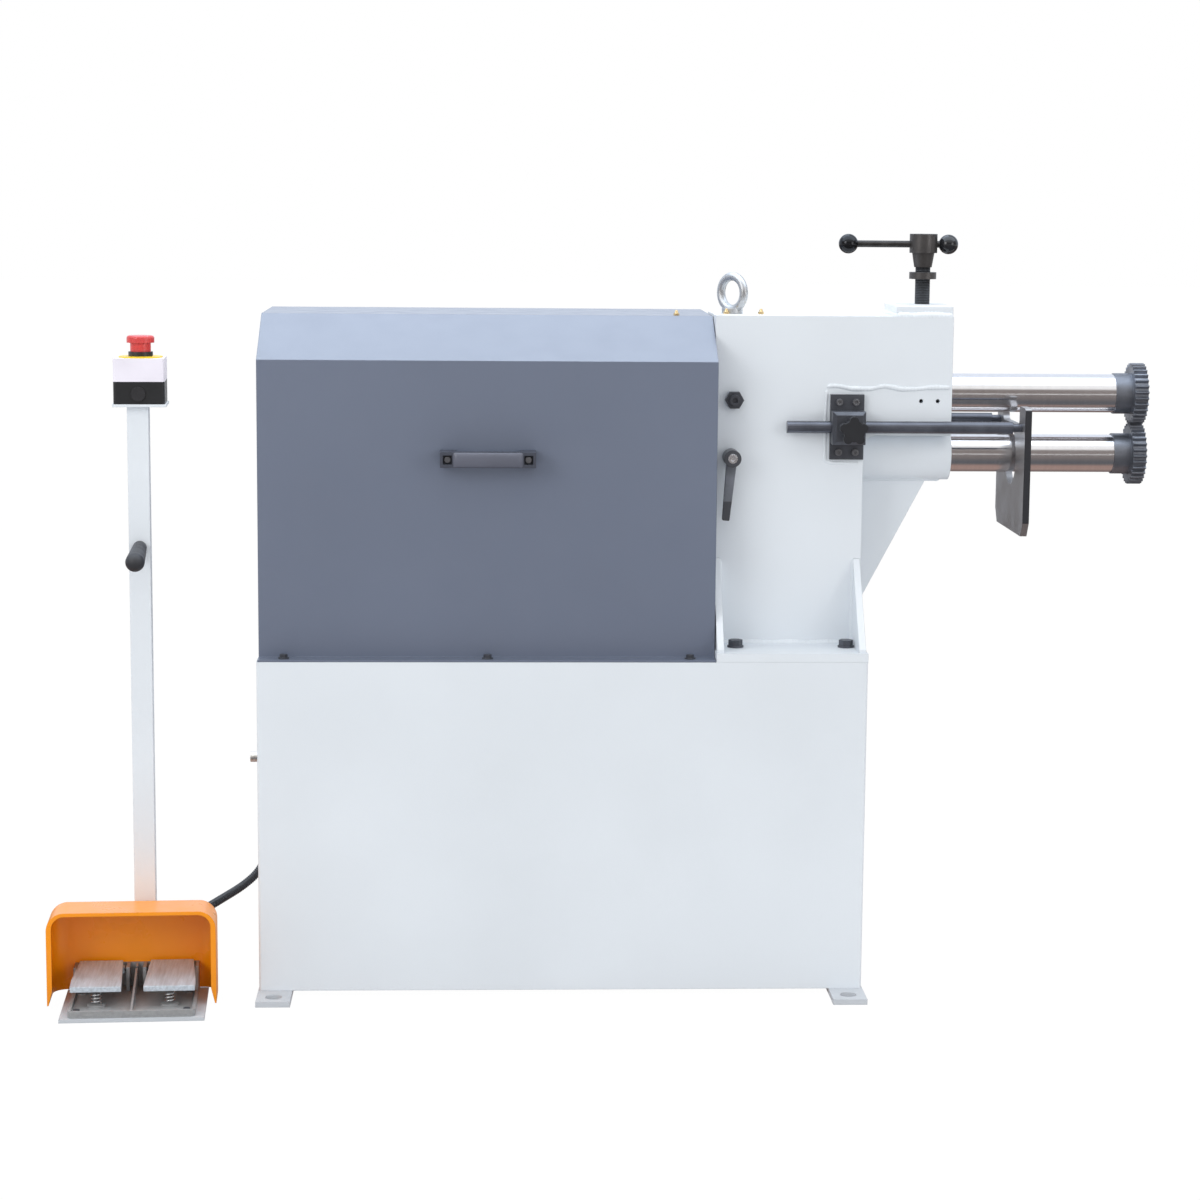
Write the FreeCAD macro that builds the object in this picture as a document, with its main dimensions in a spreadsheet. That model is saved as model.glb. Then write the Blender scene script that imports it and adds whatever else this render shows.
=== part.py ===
# Swaging machine with its foot pedal stand, in millimetres.
# X runs towards the rolls, Y away from the operator, Z up. The origin lies on the floor,
# in the middle of the four anchor holes.
import FreeCAD
import Part
import math
import os
import re
import Sketcher
from FreeCAD import Placement, Rotation, Vector

document = FreeCAD.newDocument("SwagingMachine")
sheet = document.addObject("Spreadsheet::Sheet", "Sizes")
sizes = {}
places = {}
nodes = []

SIZES = {
    # Cabinet on its two foot bars
    "cabinet_wide": 885,
    "cabinet_deep": 517,
    "cabinet_top": 495.5,
    "cabinet_wall": 3,
    "cabinet_top_wall": 6,
    "cabinet_round": 4,
    "foot_wide": 50,
    "foot_thick": 8,
    "foot_past_hole": 25.5,
    "anchor_space_x": 838,
    "anchor_space_y": 582,
    "anchor_radius": 12,
    # Side door with its lock and hinges
    "door_front": 62,
    "door_long": 378,
    "door_low": 215,
    "door_tall": 240,
    "door_gap": 2,
    "door_sheet": 2,
    "door_edge": 12,
    "lock_radius": 7.5,
    "lock_in": 26,
    "lock_out": 16,
    "lock_inside": 14,
    "lock_height": 339,
    "hinge_radius": 5,
    "hinge_pin_radius": 2.5,
    "hinge_knuckle": 20,
    "hinge_leaf": 24,
    "hinge_inset": 40,
    # Electrics behind the door
    "electrics_long": 330,
    "electrics_tall": 300,
    "electrics_low": 110,
    "electrics_in": 120,
    "electrics_thick": 3,
    "electrics_leg": 14,
    "post_radius": 5,
    "post_in": 15,
    "module_in": 30,
    "module_low": 178,
    "contactor_step": 52,
    "contactor_wide": 45,
    "contactor_deep": 75,
    "contactor_tall": 85,
    "strip_low": 40,
    "strip_long": 200,
    "strip_deep": 40,
    "strip_tall": 45,
    "supply_in": 225,
    "supply_wide": 80,
    "supply_deep": 70,
    "supply_tall": 90,
    # Drive cover
    "cover_in": 1.5,
    "cover_long": 662,
    "cover_deep": 455.4,
    "cover_side": 432.2,
    "cover_tall": 493.2,
    "cover_flat": 228.2,
    "cover_sheet": 2,
    "cover_flange": 3,
    "cover_bolt_in": 37,
    "cover_window_half": 62,
    "cover_window_low": 150,
    "cover_window_high": 440,
    "handle_long": 137,
    "handle_tall": 22.5,
    "handle_high": 293.3,
    "handle_out": 38,
    "handle_leg": 21,
    "handle_bar": 15,
    "handle_recess": 13,
    "handle_recess_deep": 9,
    "handle_screw_radius": 4.5,
    # Small hexagon bolts of the cover
    "small_bolt_radius": 3,
    "small_head_radius": 5.8,
    "small_head_thick": 4.5,
    "small_washer_radius": 8,
    "small_washer_thick": 1.6,
    "small_bolt_down": 16,
    # Head
    "head_left": 222,
    "column_wide": 219.7,
    "head_right": 571,
    "head_front": 98,
    "head_deep": 142,
    "head_over_shaft": 115.7,
    "head_wall": 12,
    "arm_under_shaft": 58.5,
    "arm_fillet": 18,
    "flange_thick": 12.8,
    "flange_left": 221.5,
    "flange_right": 442.5,
    "gusset_thick": 10,
    "gusset_high": 127,
    "gusset_nose": 5,
    "gusset_reach": 92,
    "gusset_inset": 0.8,
    "flange_bolt_radius": 6,
    "flange_bolt_left": 254.2,
    "flange_bolt_right": 417.2,
    "flange_bolt_front": 62,
    "flange_head_radius": 10.4,
    "flange_head_thick": 11,
    "flange_collar_radius": 12,
    "flange_collar_thick": 2.5,
    "flange_bolt_down": 30,
    "accessory_radius": 3,
    "accessory_x": 538,
    "accessory_space": 24.6,
    "accessory_under_shaft": 7.8,
    # Shaft lines
    "shaft_over_cabinet": 380.5,
    "shaft_space": 90,
    "journal_radius": 25,
    "gear_seat_radius": 20,
    "roll_seat_radius": 20,
    "upper_shaft_radius": 28.5,
    "lower_shaft_radius": 28,
    "shaft_end": 825,
    "roll_hub_long": 25,
    "roll_hub_radius": 30.3,
    "roll_wide": 20,
    "roll_tip_radius": 45.5,
    "roll_root_radius": 41,
    "roll_tip_half": 1.2,
    "roll_root_half": 2.55,
    "roll_end_in": 2,
    "roll_teeth": 30,
    "running_gap": 0.05,
    "seat_gap": 0.02,
    "side_gap": 1,
    # Upper bearing block
    "block_half_deep": 48,
    "block_half_tall": 42,
    "block_left_gap": 4,
    "block_right_gap": 2,
    "block_relief": 3,
    "bush_wall": 6,
    "bush_long": 60,
    "arm_mouth_half": 50,
    "mouth_over_shaft": 60,
    "pivot_x": 250,
    "pivot_under_shaft": 7,
    "pivot_radius": 8,
    "pivot_into_block": 12,
    "nut_flat": 24,
    "nut_thick": 13,
    "pivot_past_nut": 5,
    "socket_radius": 4,
    "socket_deep": 4,
    "shaft_hole_gap": 6,
    # Lower arm and sleeve
    "arm_tube_radius": 40,
    "arm_tube_end": 578,
    "sleeve_radius": 37,
    "sleeve_left": 226,
    "sleeve_right": 574,
    "web_thick": 11,
    "web_far": 544,
    "web_low": 564,
    "web_foot": 8.5,
    # Gears at the back end of the shafts
    "gear_module": 3,
    "gear_teeth": 29,
    "pinion_teeth": 17,
    "gear_wide": 24,
    "gear_left": 176,
    "pinion_extra": 5,
    "gear_thin": 0.35,
    "mesh_gap": 0.9,
    # Gearmotor on its stand
    "output_radius": 12,
    "gearbox_long": 140,
    "gearbox_wide": 150,
    "gearbox_right_gap": 12,
    "gearbox_nose_long": 26,
    "gearbox_nose_radius": 48,
    "gearbox_up": 62,
    "gearbox_down": 78,
    "gearbox_foot_wide": 180,
    "gearbox_foot_thick": 14,
    "motor_radius": 70,
    "motor_long": 200,
    "motor_flange_radius": 85,
    "motor_flange_long": 12,
    "fan_cover_long": 55,
    "fan_cover_radius": 72,
    "fan_cover_wall": 2,
    "gearbox_bore_long": 60,
    "terminal_start": 70,
    "terminal_sink": 10,
    "terminal_long": 90,
    "terminal_wide": 80,
    "terminal_tall": 36,
    "motor_stand_wall": 8,
    "motor_stand_long": 155,
    "motor_stand_wide": 200,
    # Adjusting screw
    "boss_left": 488,
    "boss_right": 571,
    "boss_half_deep": 64,
    "boss_thick": 15.8,
    "boss_chamfer": 2,
    "screw_x": 534.6,
    "screw_radius": 11,
    "screw_nut_radius": 24,
    "screw_nut_long": 22,
    "pad_radius": 15,
    "pad_thick": 6,
    "pad_nose_radius": 8,
    "pad_nose": 3,
    "pad_gap": 0.3,
    "ring_radius": 20,
    "ring_thick": 9.9,
    "ring_over_boss": 37,
    "hub_radius": 20.5,
    "hub_cone_tall": 21.1,
    "hub_tall": 27.8,
    "hub_cone_radius": 16.5,
    "cone_over_boss": 54.2,
    "hub_neck_radius": 13,
    "screw_into_hub": 6,
    "bar_radius": 5,
    "bar_over_hub": 12.7,
    "bar_left_ball": 422.9,
    "bar_right_ball": 571.8,
    "ball_radius": 14.5,
    "ball_bite": 9,
    # Lifting eye and grease nipples
    "eye_x": 251.8,
    "eye_ring_radius": 24,
    "eye_wire_radius": 6.25,
    "eye_collar_radius": 15.5,
    "eye_collar_thick": 8,
    "eye_bite": 7.8,
    "eye_turn": 51,
    "eye_thread_radius": 8,
    "eye_thread_long": 20,
    "nipple_radius": 3.2,
    "nipple_tall": 8,
    "nipple_hex_radius": 4.4,
    "nipple_hex_thick": 3.5,
    "nipple_left_x": 241.4,
    "nipple_right_x": 292.7,
    "nipple_front": 21,
    "cover_nipple_x": 168,
    "cover_nipple_y": 106,
    # Fence on its rods
    "rod_radius": 9,
    "rod_offset": 84,
    "rod_over_shaft": 44.5,
    "rod_left": 326.7,
    "rod_shoulder": 659,
    "rod_neck_radius": 6,
    "fence_left": 673.3,
    "fence_thick": 9.7,
    "fence_half": 108.5,
    "fence_under_shaft": 114.5,
    "fence_over_rod": 30.5,
    "fence_ear": 44.5,
    "notch_over_rod": 1.5,
    "fence_notch_round": 10,
    "fence_hole_radius": 43,
    "fence_hole_drop": 3,
    "fence_chamfer_y": 15,
    "fence_chamfer_z": 21,
    "bracket_left": 391.3,
    "bracket_wide": 49.5,
    "bracket_under_rod": 48,
    "bracket_tall": 95.4,
    "bracket_thick": 8,
    "bracket_block": 48.4,
    "bracket_block_out": 38,
    "bracket_chamfer": 5,
    "bracket_screw_space_x": 24.4,
    "bracket_screw_space_z": 73.5,
    "bracket_screw_radius": 3,
    "bracket_head_radius": 5,
    "bracket_head_thick": 6,
    "bracket_screw_in": 16,
    "knob_x": 418.7,
    "knob_under_rod": 1.5,
    "knob_core_radius": 15.5,
    "knob_lobe_radius": 6.5,
    "knob_lobe_at": 14.5,
    "knob_thick": 17,
    "knob_hub_radius": 9.5,
    "knob_hub_long": 15,
    "knob_screw_radius": 5,
    "knob_tip_gap": 0.3,
    # Clamping lever
    "lever_x": 245.8,
    "lever_hub_radius": 12.5,
    "lever_hub_long": 34,
    "lever_screw_radius": 6,
    "lever_base_radius": 9,
    "lever_base_long": 8,
    "lever_cap_radius": 7,
    "lever_cap_thick": 2,
    "lever_reach": 92,
    "lever_socket_radius": 3,
    "lever_socket_deep": 3,
    "lever_root_half": 7.5,
    "lever_tip_half": 5.2,
    "lever_tip_round": 1.5,
    "lever_thick": 10,
    "lever_lift": 18,
    "lever_angle": 5,
    "lever_tip_gap": 0.3,
    # Pedal stand, in its own frame
    "stand_x": -715.4,
    "stand_y": -386,
    "stand_turn": 2.9,
    "plate_wide": 204.5,
    "plate_front": -4,
    "plate_deep": 200,
    "plate_thick": 5,
    "pole_mid": 113.5,
    "pole_front": 153,
    "pole_size": 30.5,
    "pole_wall": 2,
    "pole_top": 860,
    "grip_under_top": 203,
    "grip_long": 106,
    "grip_root_radius": 10,
    "grip_end_radius": 13.5,
    "grip_droop": 4,
    "pedal_mid": 101.5,
    "pedal_half": 90,
    "pedal_front": 1,
    "pedal_back": 148,
    "gasket_thick": 3,
    "pedal_floor": 11,
    "pedal_rim": 15,
    "pedal_wall": 5,
    "pedal_corner": 8,
    "pedal_ear_height": 46,
    "pedal_ear_front": 117,
    "pedal_ear_slope": 100,
    "pedal_rib_half": 1.5,
    "pedal_inner_ear": 9.5,
    "spring_seat_radius": 13,
    "spring_seat_top": 14,
    "pedal_screw_half": 77.7,
    "pedal_screw_front": 12,
    "pedal_screw_back": 106,
    "pedal_screw_boss": 8,
    "pedal_screw_radius": 5,
    "pedal_screw_thick": 2.5,
    "slot_half": 3,
    "slot_thin": 0.6,
    "slot_deep": 1,
    "treadle_inner": 15.7,
    "treadle_wide": 72.5,
    "treadle_front": 30,
    "treadle_back": 139,
    "treadle_low": 34.5,
    "treadle_thick": 7.4,
    "treadle_slope": 4.7,
    "treadle_taper_front": 60,
    "treadle_outer_taper": 6.2,
    "treadle_inner_taper": 4.6,
    "treadle_trim_past": 5,
    "treadle_lug": 6,
    "treadle_lug_half": 6,
    "treadle_lug_inset": 1.6,
    "treadle_boss_radius": 7,
    "pin_v": 130,
    "pin_height": 40,
    "pin_radius": 3,
    "spring_v": 42,
    "spring_radius": 6.8,
    "spring_wire": 1,
    "spring_turns": 3.5,
    "spring_top": 33.2,
    "spring_gap": 0.3,
    # Pedal guard
    "guard_half": 120.5,
    "guard_mid": 98.6,
    "guard_front": 62,
    "guard_back": 150,
    "guard_low": 6,
    "guard_top": 142,
    "guard_sheet": 2,
    "guard_rim": 7.4,
    "guard_rim_top": 5.2,
    "guard_foot": 22,
    "guard_corner": 26,
    # Emergency stop box
    "box_left": 80.2,
    "box_wide": 72.5,
    "box_front": 140,
    "box_deep": 72,
    "box_plate_thick": 4,
    "box_plate_past": 2,
    "box_low_tall": 32,
    "box_high_tall": 33,
    "box_wall": 3,
    "box_round": 4,
    "plug_mid": 115.3,
    "plug_over_box": 14.6,
    "plug_radius": 10.3,
    "plug_thick": 2,
    "stop_mid": 117.5,
    "disc_radius": 31.5,
    "disc_thick": 1.5,
    "collar_radius": 17.5,
    "collar_tall": 6.5,
    "collar_wall": 2.4,
    "stem_radius": 6,
    "stem_long": 40,
    "cap_neck_radius": 14.7,
    "cap_neck_over_lid": 8,
    "cap_neck_tall": 13,
    "cap_radius": 19.75,
    "cap_tall": 10,
    "cap_round": 4,
    # Conduit and its glands
    "conduit_radius": 7,
    "gland_u": 150,
    "gland_height": 36,
    "gland_long": 22,
    "gland_radius": 12,
    "gland_thread_radius": 8,
    "gland_thread_long": 10,
    "pedal_thread_long": 6.5,
    "elbow_out": 18,
    "elbow_y": 232,
    "elbow_long": 14,
    "elbow_height": 182,
}

PLACES = {
    # Sides of the cabinet
    "cabinet_left": "-cabinet_wide / 2",
    "front": "-cabinet_deep / 2",
    "back": "cabinet_deep / 2",
    "cabinet_tall": "cabinet_top - foot_thick",
    "foot_long": "anchor_space_y + 2 * foot_past_hole",
    # Door opening in the left wall
    "door_y": "front + door_front",
    "lock_y": "door_y + lock_in",
    "hinge_x": "cabinet_left - hinge_radius - 0.3",
    "hinge_y": "door_y + door_long + 1",
    # Cover
    "cover_left": "cabinet_left + cover_in",
    "cover_mid_x": "cover_left + cover_long / 2",
    "cover_right": "cover_left + cover_long",
    "cover_front": "-cover_deep / 2",
    "cover_top": "cabinet_top + cover_tall",
    # Head
    "shaft_y": "front + head_front + head_deep / 2",
    "upper_height": "cabinet_top + shaft_over_cabinet",
    "lower_height": "upper_height - shaft_space",
    "head_top": "upper_height + head_over_shaft",
    "arm_under": "upper_height - arm_under_shaft",
    "arm_mouth_high": "upper_height + mouth_over_shaft",
    "accessory_height": "upper_height - accessory_under_shaft",
    "pivot_height": "upper_height - pivot_under_shaft",
    "head_face": "front + head_front",
    "head_rear": "head_face + head_deep",
    "head_base": "cabinet_top + flange_thick",
    "column_right": "head_left + column_wide",
    "flange_deep": "2 * (head_front + head_deep / 2)",
    # Upper block
    "block_left": "head_left + head_wall + block_left_gap",
    "block_right": "head_right - block_right_gap",
    "block_long": "block_right - block_left",
    "block_top": "upper_height + block_half_tall",
    "bush_radius": "journal_radius + running_gap + bush_wall",
    "upper_shoulder": "head_right + side_gap + block_right_gap",
    "lower_shoulder": "sleeve_right + side_gap",
    "gear_right": "gear_left + gear_wide",
    "shaft_back": "gear_left - 8",
    # Gear wheels
    "gear_tip": "(gear_teeth + 2) * gear_module / 2",
    "gear_root": "(gear_teeth - 2.5) * gear_module / 2",
    "pinion_tip": "(pinion_teeth + 2) * gear_module / 2",
    "pinion_root": "(pinion_teeth - 2.5) * gear_module / 2",
    "tooth_half": "3.14159 * gear_module / 4 - gear_thin",
    "tooth_tip_half": "tooth_half - gear_module * tan(20)",
    "tooth_root_half": "tooth_half + 1.25 * gear_module * tan(20)",
    "drive_height": "lower_height - (gear_teeth + pinion_teeth) * gear_module / 2 - mesh_gap",
    # Gearmotor
    "gearbox_right": "gear_left - pinion_extra - gearbox_right_gap",
    "gearbox_left": "gearbox_right - gearbox_long",
    "motor_right": "gearbox_left - motor_flange_long",
    "motor_left": "motor_right - motor_long",
    "gearbox_low": "drive_height - gearbox_down",
    # Screw
    "boss_top": "head_top + boss_thick",
    "ring_height": "boss_top + ring_over_boss",
    "hub_cone_low": "boss_top + cone_over_boss",
    "hub_low": "hub_cone_low + hub_cone_tall",
    "bar_height": "hub_low + bar_over_hub",
    "pad_low": "block_top + pad_gap",
    "screw_low": "pad_low + pad_nose + pad_thick",
    # Fence
    "rod_height": "lower_height + rod_over_shaft",
    "bracket_low": "rod_height - bracket_under_rod",
    "knob_height": "rod_height - knob_under_rod",
    "fence_low": "lower_height - fence_under_shaft",
    "fence_high": "rod_height + fence_over_rod",
    "fence_notch": "rod_height + notch_over_rod",
    "front_rod_y": "shaft_y - rod_offset",
    "rear_rod_y": "shaft_y + rod_offset",
    "bracket_mid_x": "bracket_left + bracket_wide / 2",
    "bracket_mid_z": "bracket_low + bracket_tall / 2",
    "block_face": "head_face - bracket_block_out",
    # Pedal stand
    "pole_left": "pole_mid - pole_size / 2",
    "pedal_left": "pedal_mid - pedal_half",
    "casting_low": "plate_thick + gasket_thick",
    "box_low": "pole_top + box_plate_thick",
    "box_mid_v": "box_front + box_deep / 2",
    "lid_low": "box_low + box_low_tall",
    "lid_top": "lid_low + box_high_tall",
    "plug_height": "box_low + plug_over_box",
    "cap_neck_low": "lid_top + cap_neck_over_lid",
    "cap_low": "cap_neck_low + cap_neck_tall",
    "cap_top": "cap_low + cap_tall",
    "grip_height": "pole_top - grip_under_top",
    "guard_left": "guard_mid - guard_half",
}


def write_sheet():
    """Puts each driving size into the sheet, with its name as alias."""
    for row, (name, value) in enumerate(SIZES.items(), start=1):
        sheet.set("A%d" % row, name)
        sheet.set("B%d" % row, str(value))
        sheet.setAlias("B%d" % row, name)
        sizes[name] = value
    places.update(PLACES)
    document.recompute()


def linked(formula):
    """A formula of size and place names, as an expression on the sheet's cells."""

    def swap(match):
        word = match.group(0)
        if word in places:
            return "(" + linked(places[word]) + ")"
        if word in sizes:
            return "Sizes." + word
        return word

    return re.sub(r"[A-Za-z_][A-Za-z_0-9]*", swap, str(formula))


def number(formula):
    """The present value of a formula."""
    return float(sheet.evalExpression(linked(formula)))


def bind(thing, **formulas):
    for path, formula in formulas.items():
        thing.setExpression(path, linked(formula))


def put(thing, x, y, z):
    for letter, formula in zip("xyz", (x, y, z)):
        thing.setExpression("Placement.Base." + letter, linked(formula))


# How a shape made along Z is turned to lie along each axis
TURNS = {
    "X": Rotation(Vector(0, 1, 0), 90),
    "Y": Rotation(Vector(1, 0, 0), -90),
    "Z": Rotation(),
}


def box(name, x, y, z, along_x, along_y, along_z):
    """A block from its low corner."""
    shape = document.addObject("Part::Box", name)
    bind(shape, Length=along_x, Width=along_y, Height=along_z)
    put(shape, x, y, z)
    return shape


def cylinder(name, axis, x, y, z, radius, length):
    """A round bar that starts at x, y, z and runs along the axis."""
    shape = document.addObject("Part::Cylinder", name)
    bind(shape, Radius=radius, Height=length)
    shape.Placement = Placement(Vector(), TURNS[axis])
    put(shape, x, y, z)
    return shape


def cone(name, axis, x, y, z, radius, end_radius, length):
    shape = document.addObject("Part::Cone", name)
    bind(shape, Radius1=radius, Radius2=end_radius, Height=length)
    shape.Placement = Placement(Vector(), TURNS[axis])
    put(shape, x, y, z)
    return shape


def ball(name, x, y, z, radius):
    shape = document.addObject("Part::Sphere", name)
    bind(shape, Radius=radius)
    put(shape, x, y, z)
    return shape


def hexagon(name, axis, x, y, z, flat, length):
    """A hexagonal bar, by its width across flats."""
    shape = document.addObject("Part::Prism", name)
    shape.Polygon = 6
    bind(shape, Circumradius="(%s) / sqrt(3)" % flat, Height=length)
    shape.Placement = Placement(Vector(), TURNS[axis])
    put(shape, x, y, z)
    return shape


def fuse(name, *shapes):
    shape = document.addObject("Part::MultiFuse", name)
    shape.Shapes = list(shapes)
    return shape


def cut(name, base, *tools):
    shape = document.addObject("Part::Cut", name)
    shape.Base = base
    shape.Tool = tools[0] if len(tools) == 1 else fuse(name + "_tools", *tools)
    return shape


def group(name, *shapes):
    """Separate solids that share one node."""
    shape = document.addObject("Part::Compound", name)
    shape.Links = list(shapes)
    return shape


def ring(name, axis, x, y, z, radius, bore, length):
    outer = cylinder(name + "_outer", axis, x, y, z, radius, length)
    inner = cylinder(name + "_bore", axis, x, y, z, bore, length)
    return cut(name, outer, inner)


def plane_of(body, role):
    return [part for part in body.Origin.OriginFeatures if part.Role == role][0]


def sketch_on(body, role, name):
    sketch = body.newObject("Sketcher::SketchObject", name)
    sketch.AttachmentSupport = (plane_of(body, role), [""])
    sketch.MapMode = "FlatFace"
    return sketch


def polygon(body, role, name, points):
    """A closed outline whose corners follow formulas."""
    sketch = sketch_on(body, role, name)
    spots = [(number(across), number(up)) for across, up in points]
    count = len(spots)
    for index, (across, up) in enumerate(spots):
        next_across, next_up = spots[(index + 1) % count]
        sketch.addGeometry(Part.LineSegment(Vector(across, up, 0), Vector(next_across, next_up, 0)))
    for index in range(count):
        sketch.addConstraint(Sketcher.Constraint("Coincident", index, 2, (index + 1) % count, 1))
    for index, (across, up) in enumerate(points):
        for kind, formula, spot in zip(("DistanceX", "DistanceY"), (across, up), spots[index]):
            row = sketch.addConstraint(Sketcher.Constraint(kind, -1, 1, index, 1, spot))
            sketch.setExpression("Constraints[%d]" % row, linked(formula))
    return sketch


def new_body(name, x="0", y="0", z="0"):
    body = document.addObject("PartDesign::Body", name)
    put(body, x, y, z)
    return body


def pad(body, sketch, length):
    feature = body.newObject("PartDesign::Pad", sketch.Name + "_pad")
    feature.Profile = sketch
    bind(feature, Length=length)
    document.recompute()
    return feature


def pocket(body, sketch, length):
    """Cuts against the sketch's normal, and makes sure that it took something away."""
    before = body.Shape.Volume
    feature = body.newObject("PartDesign::Pocket", sketch.Name + "_pocket")
    feature.Profile = sketch
    bind(feature, Length=length)
    document.recompute()
    if body.Shape.Volume > before - 1:
        feature.Reversed = True
        document.recompute()
    if body.Shape.Volume > before - 1:
        raise ValueError(feature.Name + " cuts nothing")
    return feature


def plate_body(name, role, points, length, x="0", y="0", z="0"):
    """A body made of one padded outline."""
    body = new_body(name, x, y, z)
    pad(body, polygon(body, role, name + "_outline", points), length)
    return body


def runs_along(edge, direction):
    if edge.Curve.TypeId != "Part::GeomLine":
        return False
    return abs(edge.tangentAt(edge.FirstParameter).dot(direction)) > 0.999


def edge_names(shape, wanted):
    return ["Edge%d" % (index + 1) for index, edge in enumerate(shape.Edges) if wanted(edge)]


def fillet(body, radius, wanted):
    """Rounds the edges of a body that the test picks."""
    base = body.Tip
    feature = body.newObject("PartDesign::Fillet", body.Name + "_fillet")
    feature.Base = (base, edge_names(base.Shape, wanted))
    bind(feature, Radius=radius)
    document.recompute()
    return feature


def chamfer(body, length, wanted):
    base = body.Tip
    feature = body.newObject("PartDesign::Chamfer", body.Name + "_chamfer")
    feature.Base = (base, edge_names(base.Shape, wanted))
    bind(feature, Size=length)
    document.recompute()
    return feature


def shell(body, wall, wanted):
    """Hollows a body inwards and leaves the picked faces open."""
    base = body.Tip
    names = ["Face%d" % (index + 1) for index, face in enumerate(base.Shape.Faces) if wanted(face)]
    feature = body.newObject("PartDesign::Thickness", body.Name + "_shell")
    feature.Base = (base, names)
    bind(feature, Value=wall)
    feature.Reversed = True
    feature.Join = 1
    document.recompute()
    return feature


def rectangle(low_a, high_a, low_b, high_b):
    return [(low_a, low_b), (high_a, low_b), (high_a, high_b), (low_a, high_b)]


def node(label, thing):
    """Names a finished sub-part."""
    thing.Label = label
    nodes.append(thing)
    return thing


def on_stand(name, *shapes):
    """Moves shapes from the pedal stand's own frame to their place."""
    whole = group(name + "_on_stand", *shapes)
    bind(whole, **{"Placement.Rotation.Angle": "stand_turn"})
    put(whole, "stand_x", "stand_y", "0")
    return whole


def stand_node(label, *shapes):
    return node(label, on_stand(label, *shapes))


# Cabinet

def base_cabinet():
    body = new_body("cabinet_shell", "0", "0", "foot_thick")
    half = rectangle("-cabinet_wide / 2", "cabinet_wide / 2", "front", "back")
    pad(body, polygon(body, "XY_Plane", "cabinet_plan", half), "cabinet_tall")
    fillet(body, "cabinet_round", lambda edge: runs_along(edge, Vector(0, 0, 1)))
    room = rectangle("-cabinet_wide / 2 + cabinet_wall", "cabinet_wide / 2 - cabinet_wall",
                     "front + cabinet_wall", "back - cabinet_wall")
    pocket(body, polygon(body, "XY_Plane", "cabinet_room", room), "cabinet_tall - cabinet_top_wall")
    door_way = box("door_way", "cabinet_left - 1", "door_y", "door_low",
                   "cabinet_wall + 2", "door_long", "door_tall")
    holes = [door_way]
    for x, y in flange_bolt_spots() + cover_bolt_spots():
        radius = "flange_bolt_radius" if (x, y) in flange_bolt_spots() else "small_bolt_radius"
        holes.append(cylinder("top_hole", "Z", x, y, "cabinet_top - cabinet_top_wall - 1",
                              radius + " + seat_gap", "cabinet_top_wall + 2"))
    holes.append(cylinder("gland_hole", "X", "cabinet_left - 1", "elbow_y", "elbow_height",
                          "gland_thread_radius + seat_gap", "cabinet_wall + 2"))
    node("base_cabinet", group("cabinet_and_hinges", cut("cabinet", body, *holes), *frame_hinges()))


def anchor_feet():
    bars = []
    for side in ("-", ""):
        middle = side + "anchor_space_x / 2"
        bar = box("foot_bar", middle + " - foot_wide / 2", "-foot_long / 2", "0",
                  "foot_wide", "foot_long", "foot_thick")
        holes = [cylinder("anchor_hole", "Z", middle, y, "-1", "anchor_radius", "foot_thick + 2")
                 for y in ("-anchor_space_y / 2", "anchor_space_y / 2")]
        bars.append(cut("foot", bar, *holes))
    node("anchor_feet", group("feet", *bars))


def side_door():
    """A tray of sheet that lies flush in the left wall."""
    low_y = "door_y + door_gap"
    low_z = "door_low + door_gap"
    tray = box("door_tray", "cabinet_left", low_y, low_z,
               "door_edge", "door_long - 2 * door_gap", "door_tall - 2 * door_gap")
    inside = box("door_inside", "cabinet_left + door_sheet", low_y + " + door_sheet",
                 low_z + " + door_sheet", "door_edge", "door_long - 2 * door_gap - 2 * door_sheet",
                 "door_tall - 2 * door_gap - 2 * door_sheet")
    hole = cylinder("lock_hole", "X", "cabinet_left - 1", "lock_y", "lock_height",
                    "lock_radius + running_gap", "door_sheet + 2")
    node("side_door", group("door_and_hinges", cut("door", tray, inside, hole), *door_hinges()))


def lock_barrel():
    barrel = cylinder("barrel", "X", "cabinet_left - lock_out", "lock_y", "lock_height",
                      "lock_radius", "lock_out + lock_inside")
    slot = box("key_slot", "cabinet_left - lock_out - 1", "lock_y - 0.8", "lock_height - 4",
               "4", "1.6", "8")
    node("lock_barrel", cut("lock", barrel, slot))


def hinge_heights():
    return ("door_low + hinge_inset", "door_low + door_tall - hinge_inset - 2 * hinge_knuckle")


def frame_hinges():
    """The lower hinge halves, which stay on the cabinet and carry the pins."""
    halves = []
    for height in hinge_heights():
        leaf = box("frame_leaf", "cabinet_left - 2", "hinge_y", height,
                   "2", "hinge_leaf", "hinge_knuckle")
        knuckle = cylinder("frame_knuckle", "Z", "hinge_x", "hinge_y", height,
                           "hinge_radius", "hinge_knuckle")
        pin = cylinder("hinge_pin", "Z", "hinge_x", "hinge_y", height,
                       "hinge_pin_radius", "2 * hinge_knuckle")
        halves.append(fuse("frame_hinge", leaf, knuckle, pin))
    return halves


def door_hinges():
    """The upper hinge halves, which swing with the door."""
    halves = []
    for low in hinge_heights():
        height = low + " + hinge_knuckle + 0.3"
        leaf = box("door_leaf", "cabinet_left - 2", "hinge_y - hinge_leaf", height,
                   "2", "hinge_leaf", "hinge_knuckle - 0.3")
        knuckle = cylinder("door_knuckle", "Z", "hinge_x", "hinge_y", height,
                           "hinge_radius", "hinge_knuckle - 0.3")
        bore = cylinder("door_bore", "Z", "hinge_x", "hinge_y", height,
                        "hinge_pin_radius + running_gap", "hinge_knuckle")
        halves.append(cut("door_hinge", fuse("door_hinge_body", leaf, knuckle), bore))
    return halves


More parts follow.
